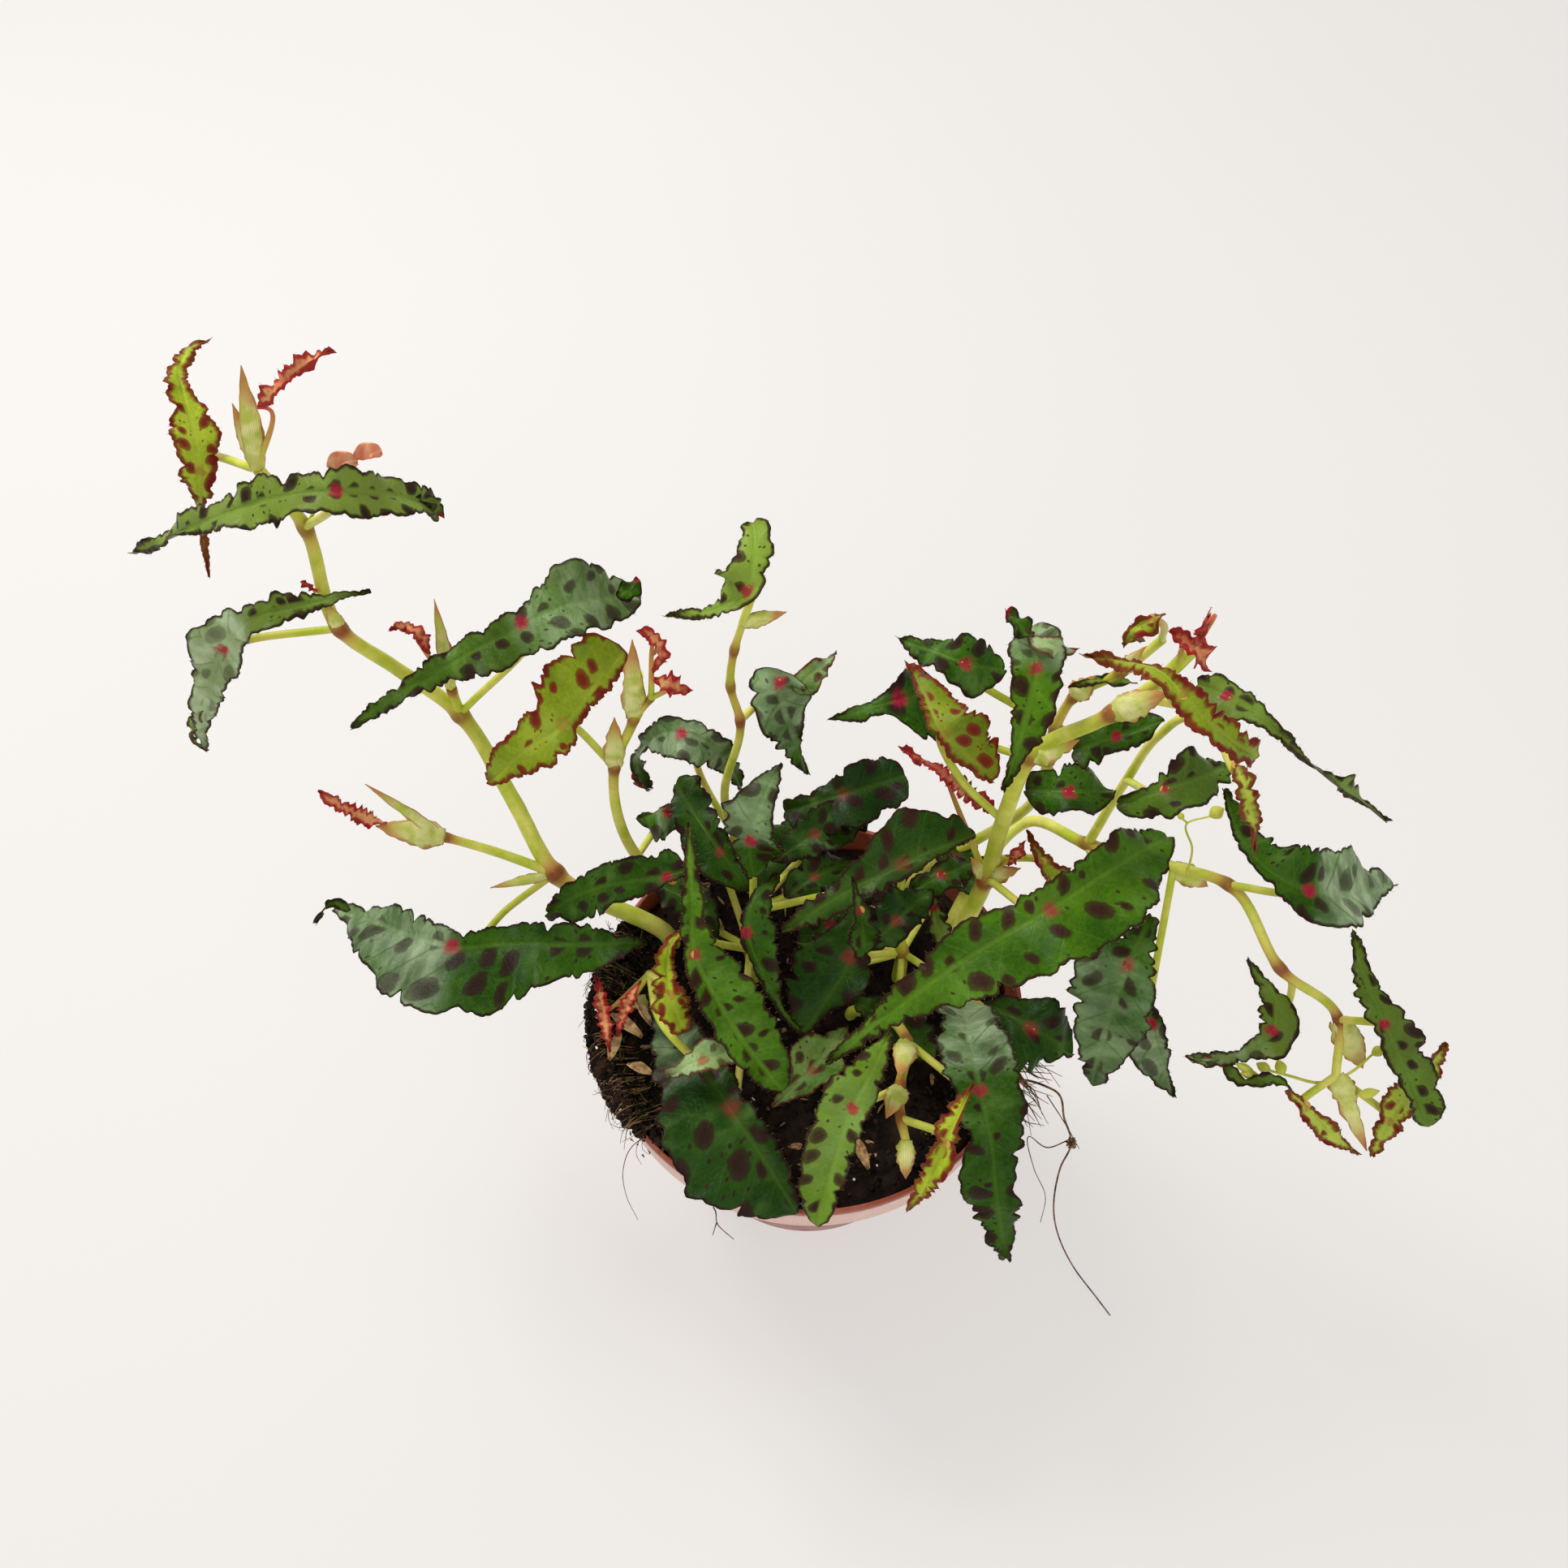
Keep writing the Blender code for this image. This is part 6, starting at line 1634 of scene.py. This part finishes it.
# --- Roots and moss ---------------------------------------------------------------------------
# Fine brown roots that have grown out over the rim: a frayed clump and one long strand down to
# the floor on the right, a felt of root hairs and moss that hangs over the rim on the left.
RIM_TOP = 86.4
ROOT_SIDES = 5
CLUMP_ROOTS = 36
CLUMP_TURN = -0.38
KNOT_ROOTS = 22
FELT_ROOTS = 90
FELT_TURNS = (2.72, 3.86)
MOSS_SIDES = 4
MOSS_TUFTS = 260
MOSS_TURNS = (2.6, 4.0)
PEAT_EDGE = 53
MOSS_DEPTH = 0.5 * MM
chance = random.Random(11)


def rim_point(turn, radius, height):
    """A point by its turn about the pot, in radians, and its radius and height in mm."""
    return Vector((radius * cos(turn), radius * sin(turn), height)) * MM


root_paths = [
    strand([rim_point(-0.5, 56, 84), rim_point(-0.4, 61, 87.5), (1296, 1342, 84),
            (1312, 1380, 66), (1320, 1408, 56), (1306, 1440, 44), (1299, 1500, 26),
            (1322, 1560, 9), (1352, 1600, 0.8), (1368, 1621, 0.5)], 0.36, 0.22),
    strand([(1318, 1404, 57), (1292, 1414, 54), (1268, 1400, 60), (1274, 1440, 48),
            (1288, 1474, 38), (1282, 1506, 28)], 0.2, 0.1),
    strand([(1290, 1350, 82), (1312, 1384, 70), (1330, 1416, 56)], 0.2, 0.1),
    strand([rim_point(-2.0, 57, 83), rim_point(-2.0, 60.6, 86.8), rim_point(-2.01, 61.5, 80),
            (882, 1494, 70), (884, 1508, 62), (904, 1527, 52)], 0.28, 0.12),
    strand([(883, 1506, 63), (878, 1522, 56)], 0.2, 0.1),
    strand([rim_point(-2.42, 57, 83), rim_point(-2.42, 61, 86.8), (768, 1440, 70),
            (772, 1474, 56), (786, 1503, 44)], 0.16, 0.08),
]
# The frayed clump on the right
for _ in range(CLUMP_ROOTS):
    turn = CLUMP_TURN + chance.uniform(-0.13, 0.13)
    out = chance.uniform(64, 73)
    drop = chance.uniform(-1, 9)
    root_paths.append(strand([
        rim_point(turn, chance.uniform(50, 57), 83), rim_point(turn, 60.5, RIM_TOP + 1.2),
        rim_point(turn + chance.uniform(-0.03, 0.03), (60 + out) / 2, RIM_TOP - drop * 0.3),
        rim_point(turn + chance.uniform(-0.06, 0.06), out, RIM_TOP - drop)],
        chance.uniform(0.14, 0.5), 0.08, 1.2 * MM))
# The tangle halfway down the long strand
for _ in range(KNOT_ROOTS):
    centre = seen(1320, 1408, 56)
    shake = [Vector([chance.uniform(-1.5, 1.5) * MM for _ in range(3)]) for _ in range(3)]
    root_paths.append(strand([centre + off for off in shake], 0.3, 0.12, 1.0 * MM))
# The felt over the rim on the left, thickest in its middle
for _ in range(FELT_ROOTS):
    turn = chance.uniform(*FELT_TURNS)
    full = 1 - abs(turn - 3.25) / 0.75
    drop = chance.uniform(-1, 3) + chance.uniform(0, 7) * max(full, 0.0)
    sway = chance.uniform(-0.08, 0.08)
    root_paths.append(strand([
        rim_point(turn, chance.uniform(50, 57), chance.uniform(80, 84)),
        rim_point(turn + sway * 0.3, 59.5, RIM_TOP + chance.uniform(0.2, 2.4)),
        rim_point(turn + sway, 61.5 + chance.uniform(0, 3), RIM_TOP - drop * 0.4),
        rim_point(turn + sway * 1.6, 61 + chance.uniform(0, 4.5), RIM_TOP - drop)],
        chance.uniform(0.12, 0.3), 0.06, 1.4 * MM))
fibre = mottled("root_brown", (54, 38, 26), (146, 112, 80), 2.5, (0.35, 0.65), (0.7, 0.2),
                0.15, relief=0.2)
roots = tubes("root_fibres", root_paths, ROOT_SIDES, fibre)
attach(roots, "root")

BANK = [(50, 79.5), (54, 82.5), (57.5, 85.5), (60, 87.2), (62, 86.2), (63, 82.5), (62.4, 78.5)]
BANK_MIDDLE = (57, 85)
BANK_STEPS = 60
BANK_START = 2.62
BANK_SPAN = 1.3
points = []
for k in range(BANK_STEPS + 1):
    swell = sin(pi * k / BANK_STEPS) ** 0.5
    for radius, height in BANK:
        rough = 1.3 * noise.noise(Vector((k * 0.35, height * 0.4, 2.0)))
        points.append(rim_point(BANK_START + BANK_SPAN * k / BANK_STEPS,
                                BANK_MIDDLE[0] + (radius - BANK_MIDDLE[0]) * swell + rough,
                                BANK_MIDDLE[1] + (height - BANK_MIDDLE[1]) * swell + rough))
bank = [(a, d, c, b) for a, b, c, d in sheet_faces(BANK_STEPS + 1, len(BANK))]
strewn_over((points, bank), "rim_crumbs", 640000, 15, (0.5, 0.4, 0.4), (1.7, 1.4, 1.2), 1.3,
            crumbs)

moss_paths = []
for _ in range(MOSS_TUFTS):
    turn = chance.uniform(*MOSS_TURNS)
    radius = chance.uniform(44, 63)
    foot = rim_point(turn, radius, 84 + chance.uniform(0, 3))
    if radius < PEAT_EDGE:
        foot.z = soil_top(foot.x, foot.y) - MOSS_DEPTH
    tip = foot + Vector([chance.uniform(*ends) * MM
                         for ends in ((-1.6, 1.6), (-1.6, 1.6), (1.2, 3.4))])
    moss_paths.append([(foot.lerp(tip, t), (0.3 - 0.24 * t) * MM, (0, 0, 0))
                       for t in (0, 0.35, 0.7, 1)])
green = mottled("moss_dark", (44, 40, 22), (104, 112, 44), 3, (0.35, 0.7), (0.75, 0.2),
                0.15, detail=2.0)
moss = tubes("moss_tufts", moss_paths, MOSS_SIDES, green)
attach(moss, "root")

# --- Litter -----------------------------------------------------------------------------------
# Dry, tan sheaths that have fallen from the stems and lie crumpled on the peat, most of them
# at the left, under the lowest leaves. A row gives the pixel of the middle and its height, then
# the length and width in mm and the turn in radians.
STREWN = [
    (772, 1264, 91, 11, 3.4, 2.5), (796, 1252, 92, 9, 2.6, 2.2), (758, 1290, 90, 8, 3, 1.2),
    (788, 1318, 90, 7, 3, 2.8), (906, 1392, 84, 10, 4, 0.2), (862, 1104, 92, 9, 4, 0.9),
    (878, 1136, 91, 8, 3, 2.5), (1002, 1246, 84, 9, 3, 1.7), (1140, 1216, 86, 8, 3, 0.6),
    (1060, 1420, 82, 10, 3, 2.0), (1150, 1440, 82, 7, 3, 1.1), (930, 1450, 84, 8, 3, 0.5),
]
LITTER_ROWS = 12
LITTER_HALF = 3
LITTER_ARCH = 1.2 * MM
LITTER_THICK = 0.3 * MM
points = []
faces = []
for u, v, height, length, width, turn in STREWN:
    middle = seen(u, v, height)
    along = Vector((cos(turn), sin(turn), 0.12))
    across = Vector((-sin(turn), cos(turn), 0.1))
    faces += sheet_faces(LITTER_ROWS + 1, 2 * LITTER_HALF + 1, len(points))
    for i in range(LITTER_ROWS + 1):
        share = i / LITTER_ROWS
        half = width * 0.5 * sin(pi * (0.08 + 0.88 * share)) * MM
        for k in range(-LITTER_HALF, LITTER_HALF + 1):
            part = k / LITTER_HALF
            curl = 0.9 * part ** 2 + 0.9 * noise.noise(Vector((u, share * 3, k * 0.5)))
            points.append(middle + along * (share - 0.5) * length * MM + across * half * part
                          + Vector((0, 0, curl * MM + LITTER_ARCH * sin(pi * share))))
litter = new_piece("dry_litter", points, faces)
thicken(litter, LITTER_THICK)
dry = mottled("litter_tan", (132, 92, 54), (204, 170, 116), 2.5, (0.35, 0.65), (0.6, 0.25),
              relief=0.25)
litter.data.materials.append(dry.material)
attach(litter, "root")
